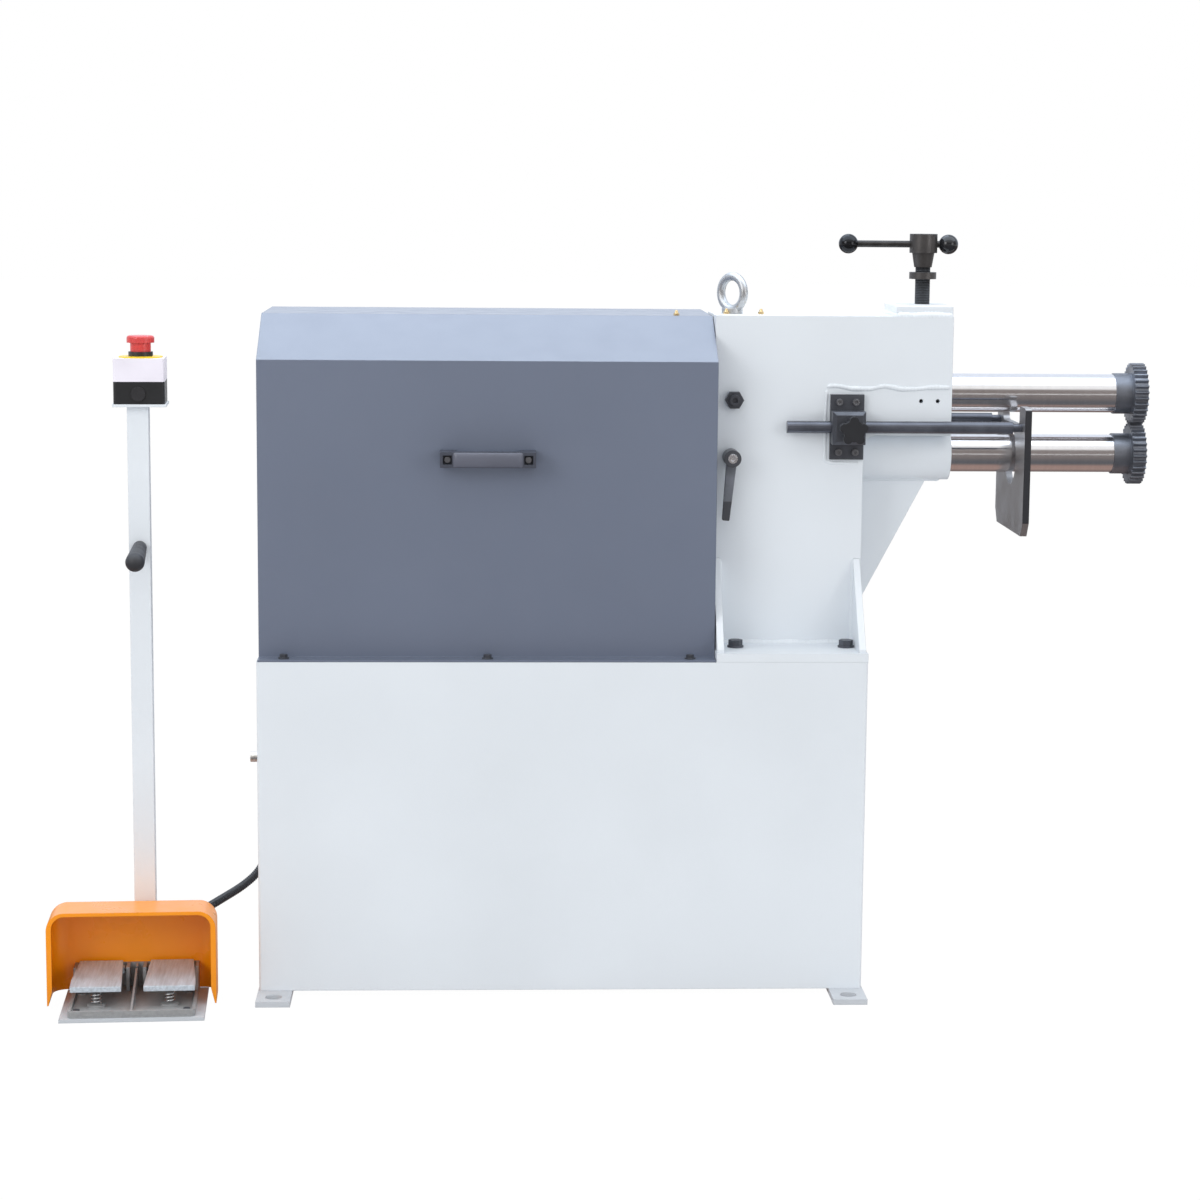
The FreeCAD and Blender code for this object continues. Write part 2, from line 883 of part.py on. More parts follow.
def electrics():
    """The plate behind the door, on four legs from the cabinet's front wall."""
    plate_y = "front + cabinet_wall + electrics_leg"
    plate = box("electrics_sheet", "cabinet_left + electrics_in", plate_y, "electrics_low",
                "electrics_long", "electrics_thick", "electrics_tall")
    left = "cabinet_left + electrics_in"
    legs = [cylinder("electrics_post", "Y", x, "front + cabinet_wall", z, "post_radius", "electrics_leg")
            for x in (left + " + post_in", left + " + electrics_long - post_in")
            for z in ("electrics_low + post_in", "electrics_low + electrics_tall - post_in")]
    panel = fuse("electrics_board", plate, *legs)
    face = plate_y + " + electrics_thick"
    contactors = [box("contactor", "%s + module_in + %d * contactor_step" % (left, row), face,
                      "electrics_low + module_low", "contactor_wide", "contactor_deep", "contactor_tall")
                  for row in range(3)]
    terminals = box("terminal_strip", left + " + module_in", face, "electrics_low + strip_low",
                    "strip_long", "strip_deep", "strip_tall")
    supply = box("transformer", left + " + supply_in", face, "electrics_low + module_low",
                 "supply_wide", "supply_deep", "supply_tall")
    node("electrics_panel", group("electrics_parts", panel, *contactors, terminals, supply))


# Drive cover

def cover_bolt_spots():
    across = ("cover_left + cover_bolt_in", "cover_mid_x", "cover_right - cover_bolt_in")
    middle = "(cabinet_deep - cover_deep) / 4"
    return [(x, y) for x in across for y in ("front + " + middle, "back - " + middle)]


def drive_cover():
    body = new_body("cover_shell", "cover_left", "0", "cabinet_top")
    outline = [("-cover_deep / 2", "0"), ("cover_deep / 2", "0"), ("cover_deep / 2", "cover_side"),
               ("cover_flat / 2", "cover_tall"), ("-cover_flat / 2", "cover_tall"),
               ("-cover_deep / 2", "cover_side")]
    pad(body, polygon(body, "YZ_Plane", "cover_outline", outline), "cover_long")
    shell(body, "cover_sheet", lambda face: face.BoundBox.ZMax < 0.01)
    flanges = [box("cover_flange_strip", "cover_left", y, "cabinet_top", "cover_long",
                   "(cabinet_deep - cover_deep) / 2 + cover_sheet", "cover_flange")
               for y in ("front", "back - (cabinet_deep - cover_deep) / 2 - cover_sheet")]
    window = box("cover_window", "cover_right - cover_sheet - 1", "shaft_y - cover_window_half",
                 "cabinet_top + cover_window_low", "cover_sheet + 2", "2 * cover_window_half",
                 "cover_window_high - cover_window_low")
    holes = [cylinder("cover_bolt_hole", "Z", x, y, "cabinet_top - 1",
                      "small_bolt_radius + seat_gap", "cover_flange + 2") for x, y in cover_bolt_spots()]
    nipple = cylinder("cover_nipple_hole", "Z", "cover_nipple_x", "-cover_nipple_y",
                      "cover_top - cover_sheet - 1", "nipple_radius + seat_gap", "cover_sheet + 2")
    whole = fuse("cover_with_flanges", body, *flanges)
    node("drive_cover", cut("cover", whole, window, nipple, *holes))


def cover_bolts():
    bolts = []
    for x, y in cover_bolt_spots():
        seat = "cabinet_top + cover_flange"
        washer = cylinder("bolt_washer", "Z", x, y, seat, "small_washer_radius", "small_washer_thick")
        head = hexagon("bolt_head", "Z", x, y, seat + " + small_washer_thick",
                       "1.732 * small_head_radius", "small_head_thick")
        stem = cylinder("bolt_stem", "Z", x, y, seat + " - small_bolt_down",
                        "small_bolt_radius", "small_bolt_down + small_washer_thick")
        bolts.append(fuse("cover_bolt", washer, head, stem))
    return bolts


def cover_handle():
    """A bridge handle: two square legs, each with a screw at the bottom of a recess, and a bar."""
    left = "cover_mid_x - handle_long / 2"
    low = "cabinet_top + handle_high - handle_tall / 2"
    out = "cover_front - handle_out"
    outline = [(left, "cover_front"), (left + " + handle_leg", "cover_front"),
               (left + " + handle_leg", out + " + handle_bar"),
               (left + " + handle_long - handle_leg", out + " + handle_bar"),
               (left + " + handle_long - handle_leg", "cover_front"),
               (left + " + handle_long", "cover_front"), (left + " + handle_long", out), (left, out)]
    body = plate_body("handle_bridge", "XY_Plane", outline, "handle_tall", "0", "0", low)
    recesses = []
    screws = []
    for x in (left + " + handle_leg / 2", left + " + handle_long - handle_leg / 2"):
        middle = "cabinet_top + handle_high"
        recesses.append(box("handle_recess_cut", x + " - handle_recess / 2", out + " - 1",
                            middle + " - handle_recess / 2", "handle_recess",
                            "handle_recess_deep + 1", "handle_recess"))
        recesses.append(cylinder("handle_bore", "Y", x, out, middle,
                                 "small_bolt_radius + seat_gap", "handle_out"))
        head = cylinder("handle_screw_head", "Y", x, out + " + handle_recess_deep - 5", middle,
                        "handle_screw_radius", "5")
        stem = cylinder("handle_screw_stem", "Y", x, out + " + handle_recess_deep", middle,
                        "small_bolt_radius", "handle_out - handle_recess_deep")
        screws.append(fuse("handle_screw", head, stem))
    node("cover_handle", cut("handle", body, *recesses))
    return screws


# Head

def flange_bolt_spots():
    return [(x, y) for x in ("flange_bolt_left", "flange_bolt_right")
            for y in ("front + flange_bolt_front", "front + flange_deep - flange_bolt_front")]


def head_flange():
    plate = box("flange_sheet", "flange_left", "front", "cabinet_top",
                "flange_right - flange_left", "flange_deep", "flange_thick")
    holes = [cylinder("flange_hole", "Z", x, y, "cabinet_top - 1", "flange_bolt_radius + seat_gap",
                      "flange_thick + 2") for x, y in flange_bolt_spots()]
    node("head_flange", cut("flange", plate, *holes))


def flange_bolts():
    bolts = []
    for x, y in flange_bolt_spots():
        collar = cylinder("bolt_collar", "Z", x, y, "head_base", "flange_collar_radius",
                          "flange_collar_thick")
        head = hexagon("bolt_hexagon", "Z", x, y, "head_base + flange_collar_thick",
                       "1.732 * flange_head_radius", "flange_head_thick - flange_collar_thick")
        stem = cylinder("bolt_shank", "Z", x, y, "head_base - flange_bolt_down",
                        "flange_bolt_radius", "flange_bolt_down + flange_collar_thick")
        bolts.append(fuse("flange_bolt", collar, head, stem))
    return bolts


def head_frame():
    """A welded box of thick plate: a column with an arm at the top."""
    outline = [("head_left", "head_base"), ("column_right", "head_base"), ("column_right", "arm_under"),
               ("head_right", "arm_under"), ("head_right", "head_top"), ("head_left", "head_top")]
    outer = plate_body("head_outer", "XZ_Plane", outline, "head_deep", y="head_rear")
    corner = (number("column_right"), number("arm_under"))

    def inside_corner(edge):
        middle = edge.CenterOfMass
        near = abs(middle.x - corner[0]) < 0.1 and abs(middle.z - corner[1]) < 0.1
        return near and runs_along(edge, Vector(0, 1, 0))

    fillet(outer, "arm_fillet", inside_corner)
    room = [("head_left + head_wall", "head_base + head_wall"),
            ("column_right - head_wall", "head_base + head_wall"),
            ("column_right - head_wall", "arm_under + head_wall"),
            ("head_right - head_wall", "arm_under + head_wall"),
            ("head_right - head_wall", "head_top - head_wall"),
            ("head_left + head_wall", "head_top - head_wall")]
    inner = plate_body("head_room", "XZ_Plane", room, "head_deep - 2 * head_wall",
                       y="head_rear - head_wall")
    mouth = box("arm_mouth", "head_right - head_wall - 1", "shaft_y - arm_mouth_half",
                "arm_under + head_wall", "head_wall + 2", "2 * arm_mouth_half",
                "arm_mouth_high - arm_under - head_wall")
    cuts = [inner, mouth]
    cuts.append(cylinder("upper_way", "X", "head_left - 1", "shaft_y", "upper_height",
                         "journal_radius + shaft_hole_gap", "head_wall + 2"))
    cuts.append(cylinder("sleeve_way", "X", "head_left - 1", "shaft_y", "lower_height",
                         "sleeve_radius + running_gap", "column_wide + 2"))
    cuts.append(cylinder("tube_seat", "X", "column_right", "shaft_y", "lower_height",
                         "arm_tube_radius", "head_right - column_right + 1"))
    cuts.append(cylinder("pivot_way", "Y", "pivot_x", "head_face - 1", "pivot_height",
                         "pivot_radius + seat_gap", "head_deep + 2"))
    cuts.append(cylinder("screw_way", "Z", "screw_x", "shaft_y", "head_top - head_wall - 1",
                         "screw_radius + running_gap", "head_wall + 2"))
    cuts.append(cylinder("lever_way", "Y", "lever_x", "head_face - 1", "lower_height",
                         "lever_screw_radius + running_gap", "head_wall + 2"))
    cuts.append(cylinder("eye_way", "Z", "eye_x", "shaft_y", "head_top - head_wall - 1",
                         "eye_thread_radius + seat_gap", "head_wall + 2"))
    for x in ("accessory_x - accessory_space / 2", "accessory_x + accessory_space / 2"):
        cuts.append(cylinder("accessory_hole", "Y", x, "head_face - 1", "accessory_height",
                             "accessory_radius", "head_wall + 2"))
    for x in ("nipple_left_x", "nipple_right_x"):
        cuts.append(cylinder("nipple_hole", "Z", x, "shaft_y - nipple_front",
                             "head_top - nipple_tall - 1", "nipple_radius + seat_gap", "nipple_tall + 2"))
    for x, z in bracket_screw_spots():
        for y in ("head_face - 1", "head_rear - bracket_screw_in + bracket_thick"):
            cuts.append(cylinder("bracket_hole", "Y", x, y, z, "bracket_screw_radius + seat_gap",
                                 "bracket_screw_in + 1 - bracket_thick"))
    node("head_frame", cut("head", outer, *cuts))


def head_gussets():
    plates = []
    for x in ("head_left + gusset_inset", "flange_right - gusset_thick - gusset_inset - 2"):
        front_face = [("head_face", "head_base"), ("head_face", "head_base + gusset_high"),
                      ("head_face - gusset_reach", "head_base + gusset_nose"),
                      ("head_face - gusset_reach", "head_base")]
        rear_face = [("head_rear", "head_base"), ("head_rear", "head_base + gusset_high"),
                     ("head_rear + gusset_reach", "head_base + gusset_nose"),
                     ("head_rear + gusset_reach", "head_base")]
        for corners in (front_face, rear_face):
            plates.append(plate_body("gusset", "YZ_Plane", corners, "gusset_thick", x=x))
    node("head_gussets", group("gusset_set", *plates))


def lower_arm():
    length = "arm_tube_end - column_right"
    tube = ring("arm_pipe", "X", "column_right", "shaft_y", "lower_height",
                "arm_tube_radius", "sleeve_radius + running_gap", length)
    node("lower_arm_tube", tube)
    corners = [("column_right", "lower_height"), ("web_far", "lower_height"),
               ("web_far", "lower_height - arm_tube_radius - 2"),
               ("column_right + web_foot", "web_low"), ("column_right", "web_low")]
    web = plate_body("web_sheet", "XZ_Plane", corners, "web_thick", y="shaft_y + web_thick / 2")
    saddle = cylinder("web_saddle", "X", "column_right - 1", "shaft_y", "lower_height",
                      "arm_tube_radius", length + " + 2")
    node("arm_web", cut("web", web, saddle))


def lifting_eye():
    collar = cylinder("eye_collar", "Z", "eye_x", "shaft_y", "head_top",
                      "eye_collar_radius", "eye_collar_thick")
    thread = cylinder("eye_thread", "Z", "eye_x", "shaft_y", "head_top - eye_thread_long",
                      "eye_thread_radius", "eye_thread_long")
    hoop = document.addObject("Part::Torus", "eye_hoop")
    bind(hoop, Radius1="eye_ring_radius", Radius2="eye_wire_radius")
    upright = Rotation(Vector(0, 0, -1), number("eye_turn")).multiply(Rotation(Vector(1, 0, 0), 90))
    hoop.Placement = Placement(Vector(), upright)
    put(hoop, "eye_x", "shaft_y",
        "head_top + eye_collar_thick - eye_bite + eye_ring_radius + eye_wire_radius")
    node("eye_bolt", fuse("eye", collar, thread, hoop))


def grease_nipples():
    spots = [("nipple_left_x", "shaft_y - nipple_front", "head_top"),
             ("nipple_right_x", "shaft_y - nipple_front", "head_top"),
             ("cover_nipple_x", "-cover_nipple_y", "cover_top")]
    nipples = []
    for x, y, z in spots:
        flats = hexagon("nipple_flats", "Z", x, y, z, "1.732 * nipple_hex_radius", "nipple_hex_thick")
        stem = cylinder("nipple_stem", "Z", x, y, z + " - nipple_tall + 1",
                        "nipple_radius", "nipple_tall")
        tip = cone("nipple_tip", "Z", x, y, z + " + nipple_hex_thick",
                   "nipple_radius", "nipple_radius / 2", "nipple_tall - nipple_hex_thick")
        nipples.append(fuse("nipple", flats, stem, tip))
    node("grease_nipples", group("nipple_set", *nipples))


def pivots():
    studs = []
    nuts = []
    deep = "head_deep / 2 - block_half_deep + pivot_into_block"
    past = "(nut_thick + pivot_past_nut)"
    for start, seat, socket in (
            ("head_face - " + past, "head_face - nut_thick", "head_face - %s - 1" % past),
            ("head_rear - (%s)" % deep, "head_rear", "head_rear + %s - socket_deep" % past)):
        stud = cylinder("stud", "Y", "pivot_x", start, "pivot_height", "pivot_radius",
                        "%s + %s" % (deep, past))
        hole = cylinder("stud_socket", "Y", "pivot_x", socket, "pivot_height", "socket_radius",
                        "socket_deep + 1")
        studs.append(cut("pivot_stud", stud, hole))
        nut = hexagon("nut_hexagon", "Y", "pivot_x", seat, "pivot_height", "nut_flat", "nut_thick")
        bore = cylinder("nut_bore", "Y", "pivot_x", "head_face - 60", "pivot_height",
                        "pivot_radius + seat_gap", "head_deep + 120")
        nuts.append(cut("pivot_nut", nut, bore))
    node("pivot_studs_and_nuts", group("pivot_pair", *studs, *nuts))


# Upper line

def bearing_block():
    body = box("block_bar", "block_left", "shaft_y - block_half_deep", "upper_height - block_half_tall",
               "block_long", "2 * block_half_deep", "2 * block_half_tall")
    bore = cylinder("block_bore", "X", "block_left - 1", "shaft_y", "upper_height",
                    "journal_radius + block_relief", "block_long + 2")
    seats = [cylinder("bush_seat", "X", x, "shaft_y", "upper_height", "bush_radius", "bush_long + 1")
             for x in ("block_left - 1", "block_right - bush_long")]
    pivots_in = [cylinder("block_pivot", "Y", "pivot_x", y, "pivot_height",
                          "pivot_radius + running_gap", "pivot_into_block + 1.2")
                 for y in ("shaft_y - block_half_deep - 1",
                           "shaft_y + block_half_deep - pivot_into_block - 0.2")]
    node("upper_bearing_block", cut("bearing_block_whole", body, bore, *seats, *pivots_in))
    bushes = [ring("upper_bush", "X", x, "shaft_y", "upper_height", "bush_radius",
                   "journal_radius + running_gap", "bush_long")
              for x in ("block_left", "block_right - bush_long")]
    node("upper_bushes", group("upper_bush_pair", *bushes))


def shaft(label, height, shoulder, radius):
    """A stepped shaft: gear seat, journal, polished length and roll seat."""
    back = cylinder(label + "_gear_seat", "X", "shaft_back", "shaft_y", height,
                    "gear_seat_radius", "gear_right - shaft_back + 1")
    journal = cylinder(label + "_journal", "X", "gear_right", "shaft_y", height,
                       "journal_radius", "%s - gear_right + 1" % shoulder)
    bright = cylinder(label + "_bright", "X", shoulder, "shaft_y", height, radius,
                      "shaft_end - (%s)" % shoulder)
    seat = cylinder(label + "_roll_seat", "X", "shaft_end - 1", "shaft_y", height,
                    "roll_seat_radius", "1 + roll_hub_long + roll_wide - roll_end_in")
    node(label, fuse(label + "_steps", back, journal, bright, seat))


def toothed_wheel(name, x, height, phase, teeth, root, tip, root_half, tip_half, width):
    """A wheel about the X axis: a disc and one tooth, repeated round it."""
    body = new_body(name, x, "shaft_y", height)
    disc = sketch_on(body, "YZ_Plane", name + "_circle")
    disc.addGeometry(Part.Circle(Vector(0, 0, 0), Vector(0, 0, 1), number(root)))
    disc.addConstraint(Sketcher.Constraint("Coincident", 0, 3, -1, 1))
    row = disc.addConstraint(Sketcher.Constraint("Radius", 0, number(root)))
    disc.setExpression("Constraints[%d]" % row, linked(root))
    pad(body, disc, width)
    shoulder = "(%s) - 0.35 * ((%s) - (%s))" % (tip, tip, root)
    shoulder_half = "(%s) + 0.35 * ((%s) - (%s))" % (tip_half, root_half, tip_half)
    corners = [("-(%s)" % root_half, "(%s) - 2" % root), (root_half, "(%s) - 2" % root),
               (root_half, root), (shoulder_half, shoulder), ("(%s) * 0.7" % tip_half, tip),
               ("-(%s) * 0.7" % tip_half, tip), ("-(%s)" % shoulder_half, shoulder),
               ("-(%s)" % root_half, root)]
    tooth = pad(body, polygon(body, "YZ_Plane", name + "_tooth", corners), width)
    ring_of_teeth = body.newObject("PartDesign::PolarPattern", name + "_teeth")
    ring_of_teeth.Originals = [tooth]
    ring_of_teeth.Axis = (plane_of(body, "X_Axis"), [""])
    ring_of_teeth.Angle = 360
    bind(ring_of_teeth, Occurrences=teeth)
    body.Tip = ring_of_teeth
    body.Placement = Placement(Vector(), Rotation(Vector(1, 0, 0), 1))
    bind(body, **{"Placement.Rotation.Angle": phase})
    put(body, x, "shaft_y", height)
    document.recompute()
    return body


def crimp_roll(label, height, phase):
    wheel = toothed_wheel(label + "_wheel", "shaft_end + roll_hub_long", height, phase, "roll_teeth",
                          "roll_root_radius", "roll_tip_radius", "roll_root_half", "roll_tip_half",
                          "roll_wide")
    hub = cylinder(label + "_hub", "X", "shaft_end", "shaft_y", height, "roll_hub_radius",
                   "roll_hub_long")
    bore = cylinder(label + "_bore", "X", "shaft_end", "shaft_y", height,
                    "roll_seat_radius + seat_gap", "roll_hub_long + roll_wide - roll_end_in + seat_gap")
    node(label, cut(label + "_whole", fuse(label + "_solid", wheel, hub), bore))


def shaft_gear(label, height, phase):
    wheel = toothed_wheel(label + "_wheel", "gear_left", height, phase, "gear_teeth",
                          "gear_root", "gear_tip", "tooth_root_half", "tooth_tip_half", "gear_wide")
    bore = cylinder(label + "_bore", "X", "gear_left - 1", "shaft_y", height,
                    "gear_seat_radius + seat_gap", "gear_wide + 2")
    node(label, cut(label + "_whole", wheel, bore))


# Lower line

def lower_sleeve():
    length = "sleeve_right - sleeve_left"
    outer = cylinder("sleeve_outer", "X", "sleeve_left", "shaft_y", "lower_height",
                     "sleeve_radius", length)
    bore = cylinder("sleeve_bore", "X", "sleeve_left - 1", "shaft_y", "lower_height",
                    "journal_radius + block_relief", length + " + 2")
    seats = [cylinder("sleeve_seat", "X", x, "shaft_y", "lower_height", "bush_radius", "bush_long + 1")
             for x in ("sleeve_left - 1", "sleeve_right - bush_long")]
    node("lower_sleeve", cut("sleeve", outer, bore, *seats))
    bushes = [ring("lower_bush", "X", x, "shaft_y", "lower_height", "bush_radius",
                   "journal_radius + running_gap", "bush_long")
              for x in ("sleeve_left", "sleeve_right - bush_long")]
    node("lower_bushes", group("lower_bush_pair", *bushes))


# Gearmotor

def gearmotor():
    case = box("gearbox_case", "gearbox_left", "shaft_y - gearbox_wide / 2", "gearbox_low",
               "gearbox_long", "gearbox_wide", "gearbox_up + gearbox_down")
    foot = box("gearbox_foot", "gearbox_left", "shaft_y - gearbox_foot_wide / 2", "gearbox_low",
               "gearbox_long", "gearbox_foot_wide", "gearbox_foot_thick")
    nose = cylinder("gearbox_nose", "X", "gearbox_right - gearbox_nose_long", "shaft_y", "drive_height",
                    "gearbox_nose_radius", "gearbox_nose_long")
    bore = cylinder("gearbox_bore", "X", "gearbox_right - gearbox_bore_long", "shaft_y", "drive_height",
                    "output_radius + running_gap", "gearbox_bore_long + 1")
    node("gearbox", cut("gearbox_whole", fuse("gearbox_solid", case, foot, nose), bore))
    flange = cylinder("motor_flange", "X", "motor_right", "shaft_y", "drive_height",
                      "motor_flange_radius", "motor_flange_long")
    drum = cylinder("motor_drum", "X", "motor_left", "shaft_y", "drive_height",
                    "motor_radius", "motor_long")
    terminals = box("terminal_box", "motor_left + terminal_start", "shaft_y - terminal_wide / 2",
                    "drive_height + motor_radius - terminal_sink", "terminal_long", "terminal_wide",
                    "terminal_tall + terminal_sink")
    motor = fuse("motor_whole", flange, drum, terminals)
    cap = cylinder("fan_cap", "X", "motor_left - fan_cover_long", "shaft_y", "drive_height",
                   "fan_cover_radius", "fan_cover_long")
    room = cylinder("fan_room", "X", "motor_left - fan_cover_long + fan_cover_wall", "shaft_y",
                    "drive_height", "motor_radius", "fan_cover_long")
    node("motor", group("motor_and_fan_cover", motor, cut("fan_cover", cap, room)))
    low = "cabinet_top"
    stand = box("stand_block", "gearbox_left", "shaft_y - motor_stand_wide / 2", low,
                "motor_stand_long", "motor_stand_wide", "gearbox_low - cabinet_top")
    inside = box("stand_room", "gearbox_left - 1", "shaft_y - motor_stand_wide / 2 + motor_stand_wall",
                 low + " + motor_stand_wall", "motor_stand_long + 2",
                 "motor_stand_wide - 2 * motor_stand_wall",
                 "gearbox_low - cabinet_top - 2 * motor_stand_wall")
    node("gearmotor_stand", cut("stand_frame", stand, inside))


def drive_pinion():
    wheel = toothed_wheel("pinion_wheel", "gear_left - pinion_extra", "drive_height",
                          "180 / pinion_teeth", "pinion_teeth", "pinion_root", "pinion_tip",
                          "tooth_root_half", "tooth_tip_half", "gear_wide + 2 * pinion_extra")
    axle = cylinder("pinion_axle", "X", "gearbox_right - 55", "shaft_y", "drive_height",
                    "output_radius", "56 + gearbox_right_gap")
    node("drive_pinion", fuse("pinion_whole", wheel, axle))


# Adjusting screw

def screw_seat():
    body = plate_body("boss_sheet", "XY_Plane",
                      rectangle("boss_left", "boss_right", "shaft_y - boss_half_deep",
                                "shaft_y + boss_half_deep"), "boss_thick", z="head_top")
    top = number("boss_thick")
    chamfer(body, "boss_chamfer", lambda edge: edge.BoundBox.ZMin > top - 0.01)
    hole = cylinder("boss_hole", "Z", "screw_x", "shaft_y", "head_top - 1",
                    "screw_radius + running_gap", "boss_thick + 2")
    node("screw_boss_plate", cut("boss", body, hole))
    node("screw_nut", ring("thread_nut", "Z", "screw_x", "shaft_y",
                           "head_top - head_wall - screw_nut_long", "screw_nut_radius",
                           "screw_radius + running_gap", "screw_nut_long"))


def thrust_pad():
    nose = cylinder("pad_tip", "Z", "screw_x", "shaft_y", "pad_low", "pad_nose_radius", "pad_nose + 1")
    disc = cylinder("pad_disc", "Z", "screw_x", "shaft_y", "pad_low + pad_nose", "pad_radius", "pad_thick")
    node("thrust_pad", fuse("pad", nose, disc))


def adjusting_screw():
    node("adjusting_screw", cylinder("screw_bar", "Z", "screw_x", "shaft_y", "screw_low",
                                     "screw_radius", "hub_low + screw_into_hub - screw_low"))
    drum = cylinder("hub_drum", "Z", "screw_x", "shaft_y", "hub_low", "hub_radius", "hub_tall")
    neck = cone("hub_cone", "Z", "screw_x", "shaft_y", "hub_cone_low", "hub_neck_radius",
                "hub_cone_radius", "hub_low - hub_cone_low")
    screw_hole = cylinder("hub_bore", "Z", "screw_x", "shaft_y", "hub_cone_low - 1",
                          "screw_radius + seat_gap",
                          "hub_low + screw_into_hub - hub_cone_low + 1 + seat_gap")
    bar_hole = cylinder("bar_bore", "X", "screw_x - hub_radius - 1", "shaft_y", "bar_height",
                        "bar_radius + running_gap", "2 * hub_radius + 2")
    node("handle_hub", cut("hub", fuse("hub_solid", drum, neck), screw_hole, bar_hole))
    node("stop_ring", ring("ring_on_screw", "Z", "screw_x", "shaft_y", "ring_height", "ring_radius",
                           "screw_radius + running_gap", "ring_thick"))


def t_bar():
    left = "bar_left_ball - ball_radius + ball_bite"
    length = "bar_right_ball - bar_left_ball + 2 * (ball_radius - ball_bite)"
    bar = cylinder("cross_bar", "X", left, "shaft_y", "bar_height", "bar_radius", length)
    balls = []
    for x, start in (("bar_left_ball", left), ("bar_right_ball", "bar_right_ball - ball_radius - 1")):
        bore = cylinder("ball_bore", "X", start, "shaft_y", "bar_height", "bar_radius + seat_gap",
                        "2 * ball_radius - ball_bite + 1")
        balls.append(cut("ball_knob", ball("knob_ball", x, "shaft_y", "bar_height", "ball_radius"), bore))
    node("t_bar_with_balls", group("bar_and_balls", bar, *balls))


# Fence

def bracket_screw_spots():
    return [("bracket_mid_x %s bracket_screw_space_x / 2" % across,
             "bracket_mid_z %s bracket_screw_space_z / 2" % up) for across in "-+" for up in "-+"]


def fence_bracket(label, wall_y, block_y, rod_y, knob_hole):
    """A plate with a bored block; block_y is the low side of plate and block together."""
    plate = box(label + "_plate", "bracket_left", wall_y, "bracket_low", "bracket_wide",
                "bracket_thick", "bracket_tall")
    middle = "bracket_block / 2"
    corners = rectangle("bracket_mid_x - " + middle, "bracket_mid_x + " + middle,
                        "rod_height - " + middle, "rod_height + " + middle)
    block = plate_body(label + "_block", "XZ_Plane", corners, "bracket_block_out",
                       y=block_y + " + bracket_block_out")
    outer_face = -number("bracket_block_out") if knob_hole else 0
    chamfer(block, "bracket_chamfer", lambda edge: abs(edge.CenterOfMass.y - outer_face) < 0.01)
    cuts = [cylinder(label + "_bore", "X", "bracket_left - 1", rod_y, "rod_height",
                     "rod_radius + running_gap", "bracket_wide + 2")]
    for x, z in bracket_screw_spots():
        cuts.append(cylinder(label + "_screw_way", "Y", x, wall_y, z,
                             "bracket_screw_radius + seat_gap", "bracket_thick"))
    if knob_hole:
        cuts.append(cylinder(label + "_knob_way", "Y", "knob_x", block_y + " - 1", "knob_height",
                             "knob_screw_radius + running_gap", "20"))
    return cut(label + "_whole", fuse(label + "_solid", plate, block), *cuts)


def fence_brackets():
    front_one = fence_bracket("front_bracket", "head_face - bracket_thick",
                              "head_face - bracket_block_out", "front_rod_y", True)
    rear_one = fence_bracket("rear_bracket", "head_rear", "head_rear", "rear_rod_y", False)
    node("gauge_brackets", group("bracket_pair", front_one, rear_one))


def bracket_screws():
    screws = []
    for x, z in bracket_screw_spots():
        for head_y, socket_y in (("head_face - bracket_thick - bracket_head_thick",
                                  "head_face - bracket_thick - bracket_head_thick - 1"),
                                 ("head_rear + bracket_thick",
                                  "head_rear + bracket_thick + bracket_head_thick - 3")):
            stem_y = "head_face - bracket_thick" if "face" in head_y else \
                "head_rear + bracket_thick - bracket_screw_in"
            head = cylinder("screw_head", "Y", x, head_y, z, "bracket_head_radius", "bracket_head_thick")
            stem = cylinder("screw_stem", "Y", x, stem_y, z, "bracket_screw_radius", "bracket_screw_in")
            socket = cylinder("screw_socket", "Y", x, socket_y, z, "2.5", "4")
            screws.append(cut("bracket_screw", fuse("screw_whole", head, stem), socket))
    return screws


def fence_rods():
    rods = []
    for label, y in (("front_rod", "front_rod_y"), ("rear_rod", "rear_rod_y")):
        body = cylinder(label + "_bar", "X", "rod_left", y, "rod_height", "rod_radius",
                        "rod_shoulder - rod_left")
        neck = cylinder(label + "_neck", "X", "rod_shoulder - 1", y, "rod_height", "rod_neck_radius",
                        "fence_left + fence_thick - rod_shoulder + 1")
        rods.append(fuse(label + "_whole", body, neck))
    node("gauge_rods", group("rod_pair", *rods))


